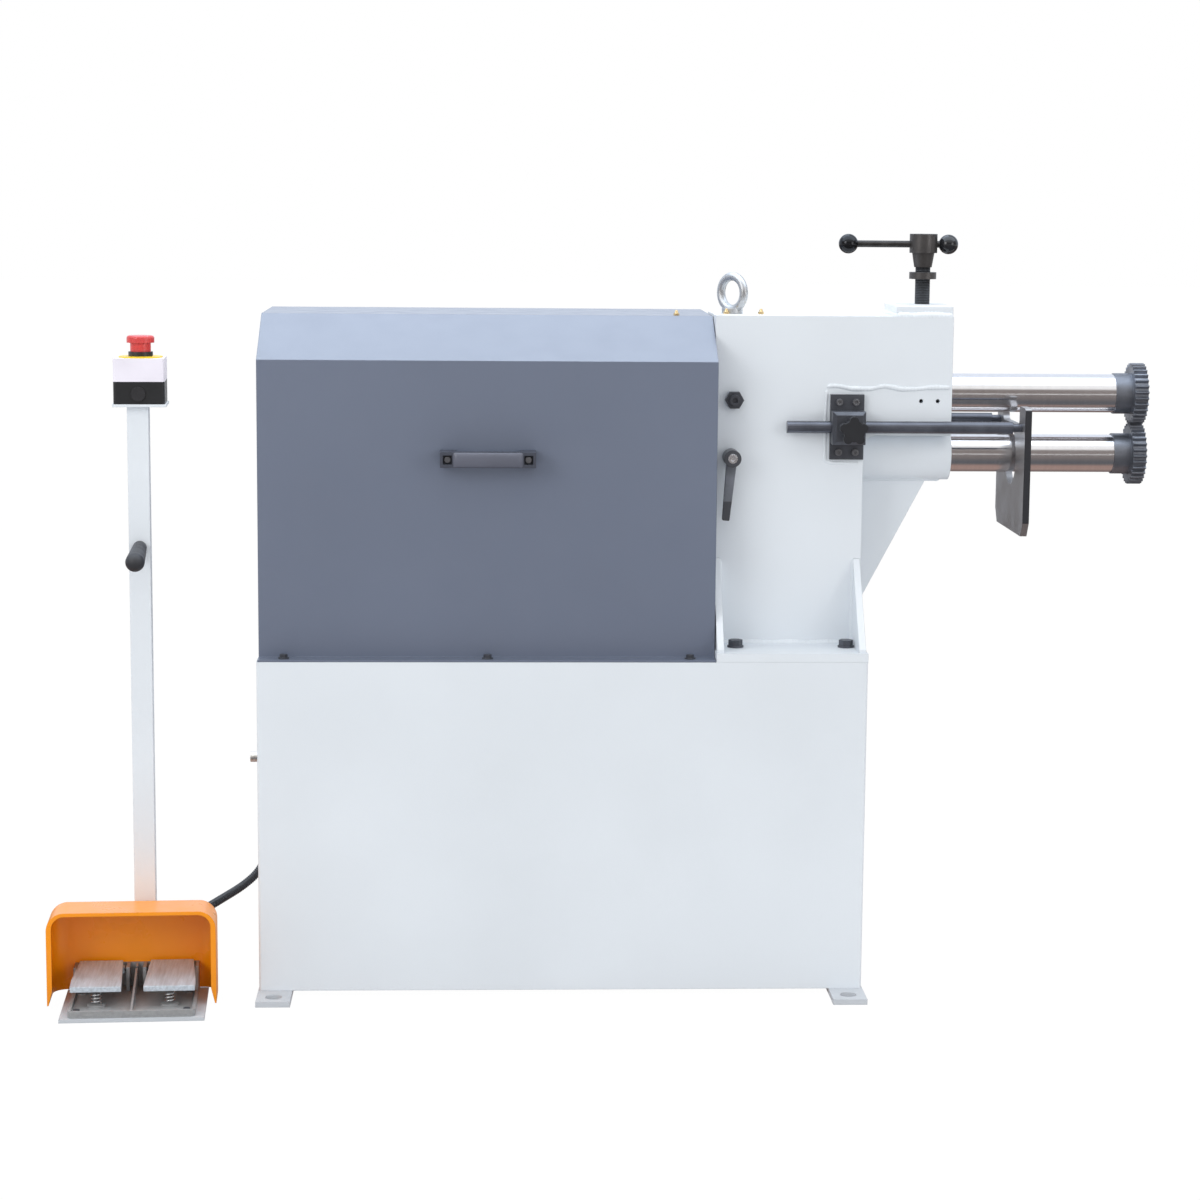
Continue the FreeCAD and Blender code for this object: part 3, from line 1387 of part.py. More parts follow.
def fence_plate():
    """A plate with two ears, a round hole for the lower shaft and a notch for the upper one."""
    inner = "fence_half - fence_ear"
    corners = [("shaft_y - fence_half + fence_chamfer_y", "fence_low"),
               ("shaft_y + fence_half - fence_chamfer_y", "fence_low"),
               ("shaft_y + fence_half", "fence_low + fence_chamfer_z"),
               ("shaft_y + fence_half", "fence_high"), ("shaft_y + " + inner, "fence_high"),
               ("shaft_y + " + inner, "fence_notch"), ("shaft_y - (%s)" % inner, "fence_notch"),
               ("shaft_y - (%s)" % inner, "fence_high"), ("shaft_y - fence_half", "fence_high"),
               ("shaft_y - fence_half", "fence_low + fence_chamfer_z")]
    body = plate_body("fence_sheet", "YZ_Plane", corners, "fence_thick", x="fence_left")
    notch = number("fence_notch")

    def notch_corner(edge):
        return runs_along(edge, Vector(1, 0, 0)) and abs(edge.CenterOfMass.z - notch) < 0.1

    fillet(body, "fence_notch_round", notch_corner)
    high = number("fence_high")

    def ear_corner(edge):
        return runs_along(edge, Vector(1, 0, 0)) and abs(edge.CenterOfMass.z - high) < 0.1

    fillet(body, "fence_notch_round / 2", ear_corner)
    hole = cylinder("fence_hole", "X", "fence_left - 1", "shaft_y", "lower_height - fence_hole_drop",
                    "fence_hole_radius", "fence_thick + 2")
    rods = [cylinder("rod_hole", "X", "fence_left - 1", y, "rod_height", "rod_neck_radius + seat_gap",
                     "fence_thick + 2") for y in ("front_rod_y", "rear_rod_y")]
    node("fence_plate", cut("fence", body, hole, *rods))


def gauge_knob():
    """A five lobed knob on a short hub, with its clamping screw."""
    face = "block_face - knob_hub_long - knob_thick"
    shapes = [cylinder("knob_core", "Y", "knob_x", face, "knob_height", "knob_core_radius", "knob_thick")]
    for lobe in range(5):
        angle = 90 + 72 * lobe
        shapes.append(cylinder("knob_lobe", "Y", "knob_x + knob_lobe_at * cos(%d)" % angle, face,
                               "knob_height + knob_lobe_at * sin(%d)" % angle, "knob_lobe_radius",
                               "knob_thick"))
    shapes.append(cylinder("knob_hub", "Y", "knob_x", "block_face - knob_hub_long - 1", "knob_height",
                           "knob_hub_radius", "knob_hub_long + 1 - 0.3"))
    shapes.append(cylinder("knob_screw", "Y", "knob_x", "block_face - 1", "knob_height",
                           "knob_screw_radius", "front_rod_y - rod_radius - knob_tip_gap - block_face + 1"))
    node("gauge_knob", fuse("knob", *shapes))


# Clamping lever

def clamp_lever():
    hub_face = "head_face - lever_base_long - lever_hub_long"
    hub = cylinder("lever_hub", "Y", "lever_x", hub_face, "lower_height", "lever_hub_radius",
                   "lever_hub_long")
    base = cylinder("lever_base", "Y", "lever_x", "head_face - lever_base_long - 1", "lower_height",
                    "lever_base_radius", "lever_base_long + 0.7")
    screw = cylinder("lever_thread", "Y", "lever_x", "head_face - 1", "lower_height",
                     "lever_screw_radius", "shaft_y - sleeve_radius - lever_tip_gap - head_face + 1")
    arm = new_body("lever_arm_bar")
    corners = [("-lever_root_half", "0"), ("lever_root_half", "0"),
               ("lever_tip_half", "-lever_reach"), ("-lever_tip_half", "-lever_reach")]
    pad(arm, polygon(arm, "XZ_Plane", "lever_outline", corners), "lever_thick")
    far = -number("lever_reach")
    fillet(arm, "lever_tip_round",
           lambda edge: runs_along(edge, Vector(0, 1, 0)) and abs(edge.CenterOfMass.z - far) < 0.1)
    arm.Placement = Placement(Vector(), Rotation(Vector(0, 1, 0), 1))
    bind(arm, **{"Placement.Rotation.Angle": "lever_angle"})
    put(arm, "lever_x", "head_face - lever_base_long - lever_lift + lever_thick / 2", "lower_height")
    recess = cylinder("lever_recess", "Y", "lever_x", hub_face + " - 1", "lower_height",
                      "lever_cap_radius + seat_gap", "lever_cap_thick + 2")
    lever = cut("lever", fuse("lever_solid", hub, base, screw, arm), recess)
    cap = cylinder("cap_disc", "Y", "lever_x", hub_face + " - 1", "lower_height",
                   "lever_cap_radius", "lever_cap_thick + 2")
    socket = cylinder("cap_socket", "Y", "lever_x", hub_face + " - 2", "lower_height",
                      "lever_socket_radius", "lever_socket_deep")
    node("clamp_lever", group("lever_and_cap", lever, cut("lever_cap", cap, socket)))


# Pedal stand

def beside(side, inner, wide="0"):
    """Low edge of a strip that starts at a distance from the middle of the pedal."""
    if side < 0:
        return "pedal_mid - (%s) - (%s)" % (inner, wide)
    return "pedal_mid + (%s)" % inner


def stand_plate():
    plate = box("floor_sheet", "0", "plate_front", "0", "plate_wide", "plate_deep", "plate_thick")
    stand_node("stand_plate", plate)


def pole():
    outer = box("pole_outer", "pole_left", "pole_front", "plate_thick", "pole_size", "pole_size",
                "pole_top - plate_thick")
    inner = box("pole_inner", "pole_left + pole_wall", "pole_front + pole_wall", "plate_thick - 1",
                "pole_size - 2 * pole_wall", "pole_size - 2 * pole_wall", "pole_top - plate_thick + 2")
    plate = box("box_sheet", "box_left - box_plate_past", "box_front", "pole_top",
                "box_wide + 2 * box_plate_past", "box_deep", "box_plate_thick")
    stand_node("pole", cut("pole_tube", outer, inner), plate)
    grip = document.addObject("Part::Cone", "grip_cone")
    bind(grip, Radius1="grip_root_radius", Radius2="grip_end_radius", Height="grip_long")
    grip.Placement = Placement(Vector(), Rotation(Vector(1, 0, 0), 94))
    bind(grip, **{"Placement.Rotation.Angle": "90 + grip_droop"})
    put(grip, "pole_mid", "pole_front + 2", "grip_height")
    end = ball("grip_end", "pole_mid", "pole_front + 2 - grip_long * cos(grip_droop)",
               "grip_height - grip_long * sin(grip_droop)", "grip_end_radius")
    away = box("grip_trim", "pole_left", "pole_front", "grip_height - 40", "pole_size", "60", "80")
    stand_node("pole_grip", cut("grip", fuse("grip_solid", grip, end), away))


def pedal_base():
    """A cast tray with side walls that rise to the ears of the treadles."""
    width = "2 * pedal_half"
    side_view = [("pedal_front", "casting_low"), ("pedal_back", "casting_low"),
                 ("pedal_back", "pedal_ear_height"), ("pedal_ear_front", "pedal_ear_height"),
                 ("pedal_ear_slope", "pedal_rim"), ("pedal_front", "pedal_rim")]
    body = plate_body("pedal_solid", "YZ_Plane", side_view, width, x="pedal_left")
    edge_view = [("pedal_front", "plate_thick"), ("pedal_back", "plate_thick"),
                 ("pedal_back", "casting_low"), ("pedal_front", "casting_low")]
    gasket = plate_body("rubber_sheet", "YZ_Plane", edge_view, width, x="pedal_left")
    front = number("pedal_front")

    def front_corner(edge):
        return runs_along(edge, Vector(0, 0, 1)) and abs(edge.CenterOfMass.y - front) < 0.1

    fillet(body, "pedal_corner", front_corner)
    fillet(gasket, "pedal_corner", front_corner)
    room = box("pedal_room", "pedal_left + pedal_wall", "pedal_front + pedal_wall", "pedal_floor",
               width + " - 2 * pedal_wall", "pedal_back - pedal_front - pedal_wall - 3", "60")
    tray = cut("pedal_tray", body, room)
    rib_view = [("pedal_front + 1", "pedal_floor - 1"), ("pedal_back - 1", "pedal_floor - 1"),
                ("pedal_back - 1", "pedal_ear_height"), ("pedal_front + 1", "pedal_rim")]
    extras = [plate_body("pedal_rib", "YZ_Plane", rib_view, "2 * pedal_rib_half",
                         x="pedal_mid - pedal_rib_half")]
    for side in (-1, 1):
        extras.append(box("inner_ear", beside(side, "pedal_inner_ear", "pedal_wall"), "pedal_ear_front",
                          "pedal_floor - 1", "pedal_wall", "pedal_back - pedal_ear_front - 1",
                          "pedal_ear_height - pedal_floor + 1"))
        seat_u = beside(side, "treadle_inner + treadle_wide / 2")
        extras.append(cylinder("spring_seat", "Z", seat_u, "spring_v", "pedal_floor - 1",
                               "spring_seat_radius", "spring_seat_top - pedal_floor + 1"))
        for v in ("pedal_screw_front", "pedal_screw_back"):
            extras.append(cylinder("screw_boss", "Z", beside(side, "pedal_screw_half"), v,
                                   "pedal_floor - 1", "pedal_screw_boss",
                                   "pedal_rim - pedal_screw_thick - pedal_floor + 1"))
    pin_hole = cylinder("pin_way", "X", "pedal_left - 1", "pin_v", "pin_height",
                        "pin_radius + seat_gap", width + " + 2")
    gland = cylinder("gland_way", "Y", "gland_u", "pedal_back - 4", "gland_height",
                     "gland_thread_radius + seat_gap", "5")
    casting = cut("pedal_casting", fuse("pedal_fused", tray, *extras), pin_hole, gland)
    stand_node("pedal_base", casting, gasket)


def pedal_screws_and_pins():
    screws = []
    pins = []
    for side in (-1, 1):
        for v in ("pedal_screw_front", "pedal_screw_back"):
            u = beside(side, "pedal_screw_half")
            head = cylinder("pedal_screw_head", "Z", u, v, "pedal_rim - pedal_screw_thick",
                            "pedal_screw_radius", "pedal_screw_thick")
            slot = box("screw_slot", u + " - slot_half", v + " - slot_thin", "pedal_rim - slot_deep",
                       "2 * slot_half", "2 * slot_thin", "slot_deep + 1")
            screws.append(cut("pedal_screw", head, slot))
        low = beside(side, "pedal_inner_ear", "pedal_half - pedal_inner_ear")
        pins.append(cylinder("treadle_pin", "X", low, "pin_v", "pin_height", "pin_radius",
                             "pedal_half - pedal_inner_ear"))
    stand_node("pedal_screws_and_pins", *screws, *pins)


def treadle(label, side):
    """A sloping plate with two lugs on the pivot pin and a boss over the spring."""
    rise = "(treadle_back - treadle_front) * tan(treadle_slope)"
    side_view = [("treadle_front", "treadle_low"), ("treadle_back", "treadle_low + " + rise),
                 ("treadle_back", "treadle_low + treadle_thick + " + rise),
                 ("treadle_front", "treadle_low + treadle_thick")]
    low = beside(side, "treadle_inner", "treadle_wide")
    plate = plate_body(label + "_plate", "YZ_Plane", side_view, "treadle_wide", x=low)
    fillet(plate, "2", lambda edge: runs_along(edge, Vector(0, 0, 1)))
    sign = "-" if side < 0 else "+"
    wedges = []
    for name, edge, inward, outward, start in (
            ("outer_taper", "treadle_inner + treadle_wide", "-", "+", "treadle_taper_front"),
            ("inner_taper", "treadle_inner", "+", "-", "treadle_front")):
        full = "pedal_mid %s (%s)" % (sign, edge)
        narrow = "pedal_mid %s (%s %s treadle_%s)" % (sign, edge, inward, name)
        past = "pedal_mid %s (%s %s treadle_trim_past)" % (sign, edge, outward)
        wedges.append(plate_body(label + "_" + name, "XY_Plane",
                                 [(full, start), (narrow, "treadle_back + 1"),
                                  (past, "treadle_back + 1"), (past, start)], "80"))
    middle = beside(side, "treadle_inner + treadle_wide / 2")
    spring_room = "treadle_low + (spring_v - treadle_front) * tan(treadle_slope)"
    boss = cylinder(label + "_boss", "Z", middle, "spring_v", "spring_top + spring_gap",
                    "treadle_boss_radius", spring_room + " + 1 - spring_top - spring_gap")
    reach = "(treadle_lug_inset + treadle_lug)"
    lugs = [box(label + "_lug", u, "pin_v - treadle_lug_half", "pin_height - 5", "treadle_lug",
                "2 * treadle_lug_half", "9")
            for u in (beside(side, "treadle_inner + treadle_lug_inset", "treadle_lug"),
                      beside(side, "treadle_inner + treadle_wide - treadle_outer_taper - " + reach,
                             "treadle_lug"))]
    bore = cylinder(label + "_pin_way", "X", beside(side, "pedal_inner_ear", "pedal_half"), "pin_v",
                    "pin_height", "pin_radius + running_gap", "pedal_half")
    body = cut(label + "_tapered", plate, *wedges)
    stand_node(label, cut(label + "_whole", fuse(label + "_solid", body, boss, *lugs), bore))


def biarc(start, along, end, end_along):
    """Two arcs that leave start and reach end in the given directions."""
    gap = end - start
    both = along + end_along
    turn = 1 - along.dot(end_along)
    lean = gap.dot(both)
    reach = (math.sqrt(lean * lean + 2 * turn * gap.dot(gap)) - lean) / (2 * turn)
    first_corner = start + along * reach
    second_corner = end - end_along * reach
    joint = (first_corner + second_corner) * 0.5
    return [arc_past(start, first_corner, joint), arc_past(joint, second_corner, end)]


def arc_past(start, corner, end):
    """The arc from start to end whose tangents meet at the corner."""
    chord_middle = (start + end) * 0.5
    rise = corner - chord_middle
    half_chord = (end - start).Length / 2
    half_turn = math.atan2(rise.Length, half_chord)
    height = half_chord * math.tan(half_turn / 2)
    top = chord_middle + rise.normalize() * height
    return Part.Arc(start, top, end).toShape()


def spring(label, side):
    """A compression spring on quarter turns, with its axis along Z."""
    radius = number("spring_radius")
    wire = number("spring_wire")
    turns = number("spring_turns")
    low = number("spring_seat_top") + wire
    rise = (number("spring_top") - wire - low) / turns
    quarters = int(round(4 * turns))
    middle = Vector(number(beside(side, "treadle_inner + treadle_wide / 2")), number("spring_v"), low)
    slope = rise / (2 * math.pi)

    def at(quarter):
        angle = quarter * math.pi / 2
        spot = Vector(radius * math.cos(angle), radius * math.sin(angle), slope * angle)
        return middle + spot, Vector(-radius * math.sin(angle), radius * math.cos(angle), slope).normalize()

    edges = []
    for quarter in range(quarters):
        start, along = at(quarter)
        end, end_along = at(quarter + 1)
        edges.extend(biarc(start, along, end, end_along))
    path = Part.Wire(edges)
    start, along = at(0)
    circle = Part.Wire(Part.Circle(start, along, wire).toShape())
    coil = path.makePipeShell([circle], True, False)
    feature = document.addObject("Part::Feature", label + "_coil")
    feature.Shape = coil
    print(label, "turns", turns, "least gap between turns", round(rise - 2 * wire, 2))
    stand_node(label, feature)


def guard():
    """A bent sheet hood with a turned in rim, open to the front and below."""
    tall = "guard_top - guard_low"
    body = new_body("guard_hood", "guard_left", "guard_back", "guard_low")
    front_view = rectangle("0", "2 * guard_half", "0", tall)
    pad(body, polygon(body, "XZ_Plane", "guard_front_view", front_view), "guard_back - guard_front")
    top = number(tall)

    def top_corner(edge):
        return runs_along(edge, Vector(0, 1, 0)) and edge.CenterOfMass.z > top - 0.1

    fillet(body, "guard_corner", top_corner)

    def top_back(edge):
        middle = edge.CenterOfMass
        return runs_along(edge, Vector(1, 0, 0)) and middle.z > top - 0.1 and middle.y > -0.1

    fillet(body, "guard_corner - 2", top_back)
    shell(body, "guard_sheet", lambda face: face.BoundBox.ZMax < 0.01)
    high = tall + " - guard_rim_top"
    mouth_view = [("guard_sheet", "-1"), ("guard_sheet", "0"), ("guard_rim", "guard_foot"),
                  ("guard_rim", high), ("2 * guard_half - guard_rim", high),
                  ("2 * guard_half - guard_rim", "guard_foot"),
                  ("2 * guard_half - guard_sheet", "0"), ("2 * guard_half - guard_sheet", "-1")]
    hood_mouth = plate_body("hood_mouth", "XZ_Plane", mouth_view, "guard_sheet + 2", x="guard_left",
                            y="guard_front + guard_sheet + 1", z="guard_low")
    mouth_top = number(high)

    def mouth_corner(edge):
        return runs_along(edge, Vector(0, 1, 0)) and abs(edge.CenterOfMass.z - mouth_top) < 0.1

    fillet(hood_mouth, "guard_corner - guard_rim", mouth_corner)
    gland = cylinder("guard_gland_way", "Y", "gland_u", "guard_back - guard_sheet - 1", "gland_height",
                     "gland_thread_radius + seat_gap", "guard_sheet + 2")
    stand_node("pedal_guard", cut("guard_whole", body, hood_mouth, gland))


# Emergency stop box

def stop_box():
    plan = rectangle("0", "box_wide", "0", "box_deep")
    lower = plate_body("lower_box", "XY_Plane", plan, "box_low_tall", "box_left", "box_front", "box_low")
    fillet(lower, "box_round", lambda edge: runs_along(edge, Vector(0, 0, 1)))
    top = number("box_low_tall")
    shell(lower, "box_wall", lambda face: face.BoundBox.ZMin > top - 0.01)
    plug_hole = cylinder("plug_hole", "Y", "plug_mid", "box_front - 1", "plug_height",
                         "plug_radius - 2 + seat_gap", "box_wall + 2")
    stand_node("stop_box_base", cut("lower_box_whole", lower, plug_hole))
    disc = cylinder("plug_disc", "Y", "plug_mid", "box_front - plug_thick", "plug_height",
                    "plug_radius", "plug_thick")
    stem = cylinder("plug_stem", "Y", "plug_mid", "box_front - 1", "plug_height",
                    "plug_radius - 2", "box_wall + 3")
    plug = fuse("plug", disc, stem)
    upper = plate_body("upper_box", "XY_Plane", plan, "box_high_tall", "box_left", "box_front", "lid_low")
    fillet(upper, "box_round", lambda edge: runs_along(edge, Vector(0, 0, 1)))
    shell(upper, "box_wall", lambda face: face.BoundBox.ZMax < 0.01)
    stem_way = cylinder("stem_way", "Z", "stop_mid", "box_mid_v", "lid_top - box_wall - 1",
                        "stem_radius + running_gap", "box_wall + 2")
    stand_node("stop_box_lid", cut("upper_box_whole", upper, stem_way))
    return plug


def stop_button(plug):
    disc = ring("yellow_disc", "Z", "stop_mid", "box_mid_v", "lid_top", "disc_radius",
                "stem_radius + running_gap", "disc_thick")
    collar = cylinder("collar_outer", "Z", "stop_mid", "box_mid_v", "lid_top + disc_thick",
                      "collar_radius", "collar_tall")
    room = cylinder("collar_room", "Z", "stop_mid", "box_mid_v", "lid_top + disc_thick + 1.5",
                    "collar_radius - collar_wall", "collar_tall")
    way = cylinder("collar_way", "Z", "stop_mid", "box_mid_v", "lid_top",
                   "stem_radius + running_gap", "collar_tall")
    stand_node("stop_disc_collar_and_plug", disc, cut("collar", collar, room, way), plug)
    stand_node("stop_stem", cylinder("stem_bar", "Z", "stop_mid", "box_mid_v",
                                     "cap_low + 2 - stem_long", "stem_radius", "stem_long"))
    neck = cylinder("cap_neck", "Z", "stop_mid", "box_mid_v", "cap_neck_low", "cap_neck_radius",
                    "cap_low - cap_neck_low + 1")
    head = cylinder("cap_head", "Z", "stop_mid", "box_mid_v", "cap_low", "cap_radius",
                    "cap_top - cap_low")
    rounded = document.addObject("Part::Fillet", "cap_rounded")
    rounded.Base = head
    document.recompute()
    radius = number("cap_round")
    rounded.Edges = [(index + 1, radius, radius) for index, edge in enumerate(head.Shape.Edges)
                     if edge.BoundBox.ZMin > number("cap_top") - 0.01]
    bore = cylinder("cap_bore", "Z", "stop_mid", "box_mid_v", "cap_neck_low - 1",
                    "stem_radius + running_gap", "cap_low + 2 - cap_neck_low + 1 + running_gap")
    stand_node("stop_cap", cut("cap", fuse("cap_solid", neck, rounded), bore))


# Conduit: the route from the pedal to the cabinet's left wall
ROUTE = [
    (-574.3, -206.6, 36),
    (-576.8, -156.7, 36),
    (-579, -94, 14),
    (-579.5, -12, 7.7),
    (-577, 72, 9.5),
    (-564, 136, 25),
    (-536, 184, 32.4),
    (-502, 211, 48),
    (-476.5, 225.5, 69),
    (-462.5, 231, 102),
    (-460.5, 232, 138),
    (-460.5, 232, 168),
]


def conduit():
    """A tube of straight runs joined by tangent arcs, as large as the runs allow."""
    points = [Vector(*spot) for spot in ROUTE]
    edges = []
    radii = []
    last = points[0]
    for before, corner, after in zip(points, points[1:], points[2:]):
        back = before - corner
        ahead = after - corner
        reach = 0.45 * min(back.Length, ahead.Length)
        half_turn = (math.pi - back.getAngle(ahead)) / 2
        radii.append(reach / math.tan(half_turn))
        start = corner + back.normalize() * reach
        end = corner + ahead.normalize() * reach
        edges.append(Part.LineSegment(last, start).toShape())
        edges.append(arc_past(start, corner, end))
        last = end
    edges.append(Part.LineSegment(last, points[-1]).toShape())
    path = Part.Wire(edges)
    radius = number("conduit_radius")
    section = Part.Wire(Part.Circle(points[0], points[1] - points[0], radius).toShape())
    tube = path.makePipeShell([section], True, False)
    expected = math.pi * radius * radius * path.Length
    print("conduit length", round(path.Length), "least radius", round(min(radii)),
          "volume share", round(tube.Volume / expected, 4))
    print("conduit radii", [round(value) for value in radii])
    feature = document.addObject("Part::Feature", "conduit_tube")
    feature.Shape = tube
    node("conduit", feature)


def glands():
    """A straight gland behind the guard and an elbow on the cabinet's left wall."""
    body = cylinder("pedal_gland_body", "Y", "gland_u", "guard_back", "gland_height",
                    "gland_radius", "gland_long")
    thread = cylinder("pedal_gland_thread", "Y", "gland_u", "guard_back - pedal_thread_long",
                      "gland_height", "gland_thread_radius", "pedal_thread_long + 1")
    pedal_one = on_stand("pedal_gland", fuse("pedal_gland_whole", body, thread))
    elbow_x = "cabinet_left - elbow_out"
    mouth = cylinder("elbow_mouth", "Z", elbow_x, "elbow_y", "elbow_height - elbow_long",
                     "gland_radius - 1", "elbow_long")
    corner = ball("elbow_corner", elbow_x, "elbow_y", "elbow_height", "gland_radius - 0.5")
    body = cylinder("elbow_body", "X", elbow_x, "elbow_y", "elbow_height", "gland_radius - 0.5",
                    "elbow_out")
    thread = cylinder("elbow_thread", "X", "cabinet_left - 1", "elbow_y", "elbow_height",
                      "gland_thread_radius", "gland_thread_long + 1")
    elbow = fuse("elbow_whole", mouth, corner, body, thread)
    node("conduit_glands", group("gland_pair", pedal_one, elbow))


def build():
    write_sheet()
    base_cabinet()
    anchor_feet()
    side_door()
    lock_barrel()
    electrics()
    drive_cover()
    handle_screws = cover_handle()
    node("hexagon_bolts", group("bolt_set", *cover_bolts(), *flange_bolts()))
    node("socket_screws", group("screw_set", *handle_screws, *bracket_screws()))
    head_flange()
    head_frame()
    head_gussets()
    lower_arm()
    lifting_eye()
    grease_nipples()
    pivots()
    bearing_block()
    shaft("upper_shaft", "upper_height", "upper_shoulder", "upper_shaft_radius")
    shaft("lower_shaft", "lower_height", "lower_shoulder", "lower_shaft_radius")
    crimp_roll("upper_crimp_roll", "upper_height", "0")
    crimp_roll("lower_crimp_roll", "lower_height", "180 / roll_teeth")
    shaft_gear("upper_gear", "upper_height", "180 / gear_teeth")
    shaft_gear("lower_gear", "lower_height", "180 / gear_teeth")
    lower_sleeve()
    gearmotor()
    drive_pinion()
    screw_seat()
    thrust_pad()
    adjusting_screw()
    t_bar()
    fence_brackets()
    fence_rods()
    fence_plate()
    gauge_knob()
    clamp_lever()
    stand_plate()
    pole()
    pedal_base()
    pedal_screws_and_pins()
    treadle("treadle_left", -1)
    treadle("treadle_right", 1)
    spring("spring_left", -1)
    spring("spring_right", 1)
    guard()
    stop_button(stop_box())
    conduit()
    glands()
    document.recompute()


def check_and_write():
    """Stops if any object failed, then writes one file for each node."""
    for thing in document.Objects:
        if "Invalid" in thing.State or "Error" in thing.State:
            raise ValueError(thing.Name + " failed")
    os.makedirs("parts", exist_ok=True)
    for thing in nodes:
        if thing.Shape.isNull() or not thing.Shape.isValid():
            raise ValueError(thing.Label + " has no valid shape")
        thing.Shape.exportStep(os.path.join("parts", thing.Label + ".step"))
    print(len(nodes), "nodes written")


build()
check_and_write()
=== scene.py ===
"""Swaging machine: camera, light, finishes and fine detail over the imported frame, in metres."""
import math

import bpy
from mathutils import Matrix, Vector


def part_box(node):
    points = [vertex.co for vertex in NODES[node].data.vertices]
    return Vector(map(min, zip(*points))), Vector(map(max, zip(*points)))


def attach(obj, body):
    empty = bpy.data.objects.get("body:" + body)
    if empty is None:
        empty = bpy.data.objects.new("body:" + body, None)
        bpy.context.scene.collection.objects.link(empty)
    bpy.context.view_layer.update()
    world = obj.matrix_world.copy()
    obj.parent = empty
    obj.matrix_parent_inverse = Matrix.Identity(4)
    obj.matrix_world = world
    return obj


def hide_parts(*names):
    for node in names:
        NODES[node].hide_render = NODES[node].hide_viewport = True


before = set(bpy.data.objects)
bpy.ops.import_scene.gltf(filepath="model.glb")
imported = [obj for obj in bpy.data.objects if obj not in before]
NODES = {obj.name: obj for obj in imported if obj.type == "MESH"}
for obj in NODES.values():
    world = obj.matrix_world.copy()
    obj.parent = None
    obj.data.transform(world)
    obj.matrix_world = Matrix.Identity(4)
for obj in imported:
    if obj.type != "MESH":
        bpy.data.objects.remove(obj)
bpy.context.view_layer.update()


# Camera at the photograph's viewing angle
CAMERA_PLACE = (-0.1325, -4.2765, 1.1782)
CAMERA_YAW = -0.0458
CAMERA_DOWN = 0.146
CAMERA_ROLL = 0.0085
CAMERA_LENS = 84.66


def add_camera():
    """The camera stands in front of the cover, a little above it, and looks slightly down."""
    right = Vector((math.cos(CAMERA_YAW), math.sin(CAMERA_YAW), 0.0))
    ahead = Vector((-math.sin(CAMERA_YAW), math.cos(CAMERA_YAW), 0.0))
    up = Vector((0.0, 0.0, 1.0))
    forward = ahead * math.cos(CAMERA_DOWN) - up * math.sin(CAMERA_DOWN)
    above = up * math.cos(CAMERA_DOWN) + ahead * math.sin(CAMERA_DOWN)
    side = right * math.cos(CAMERA_ROLL) + above * math.sin(CAMERA_ROLL)
    top = above * math.cos(CAMERA_ROLL) - right * math.sin(CAMERA_ROLL)
    data = bpy.data.cameras.new("camera")
    data.lens = CAMERA_LENS
    data.sensor_width = 36.0
    data.clip_end = 60.0
    camera = bpy.data.objects.new("camera", data)
    bpy.context.scene.collection.objects.link(camera)
    turned = Matrix((side, top, -forward)).transposed().to_4x4()
    camera.matrix_world = Matrix.Translation(CAMERA_PLACE) @ turned
    bpy.context.scene.camera = camera


# Pieces in mesh code
def link(name, data, body, material):
    """A new piece that rides on a body and wears a material."""
    piece = bpy.data.objects.new(name, data)
    bpy.context.scene.collection.objects.link(piece)
    data.materials.append(material)
    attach(piece, body)
    return piece


def mesh_piece(name, verts, faces, body, material, smooth=True):
    data = bpy.data.meshes.new(name)
    data.from_pydata([tuple(v) for v in verts], [], faces)
    data.validate()
    if smooth:
        data.polygons.foreach_set("use_smooth", [True] * len(data.polygons))
    return link(name, data, body, material)


def frames_along(points):
    """A centre and two crosswise directions at each point of a line, carried along without twist."""
    points = [Vector(p) for p in points]
    last = len(points) - 1
    tangents = []
    for i in range(len(points)):
        tangents.append((points[min(i + 1, last)] - points[max(i - 1, 0)]).normalized())
    across = tangents[0].orthogonal().normalized()
    frames = []
    for point, tangent in zip(points, tangents):
        across = (across - tangent * across.dot(tangent)).normalized()
        frames.append((point, across, tangent.cross(across)))
    return frames


def tube_mesh(rings, sides):
    """Vertices and faces of a closed tube through rings, each (centre, across, up, radius)."""
    verts = []
    faces = []
    for centre, across, up, radius in rings:
        for k in range(sides):
            angle = 2 * math.pi * k / sides
            verts.append(centre + (across * math.cos(angle) + up * math.sin(angle)) * radius)
    for i in range(len(rings) - 1):
        for k in range(sides):
            a = i * sides + k
            b = i * sides + (k + 1) % sides
            faces.append((a, b, b + sides, a + sides))
    faces.append(tuple(reversed(range(sides))))
    faces.append(tuple(range((len(rings) - 1) * sides, len(rings) * sides)))
    return verts, faces


def along(points, spacing):
    """Points at even spacing along a line of points."""
    points = [Vector(p) for p in points]
    steps = [(b - a).length for a, b in zip(points, points[1:])]
    count = max(2, round(sum(steps) / spacing) + 1)
    gap = sum(steps) / (count - 1)
    out = [points[0].copy()]
    run = 0.0
    wanted = gap
    for a, b, step in zip(points, points[1:], steps):
        while run + step >= wanted - 1e-9 and len(out) < count:
            out.append(a.lerp(b, (wanted - run) / step))
            wanted += gap
        run += step
    return out


# Finishes
def tint(red, green, blue):
    """A colour as seen, 0 to 255, as the linear values that shaders take."""
    out = []
    for seen in (red, green, blue):
        value = seen / 255.0
        out.append(value / 12.92 if value <= 0.04045 else ((value + 0.055) / 1.055) ** 2.4)
    return (*out, 1.0)


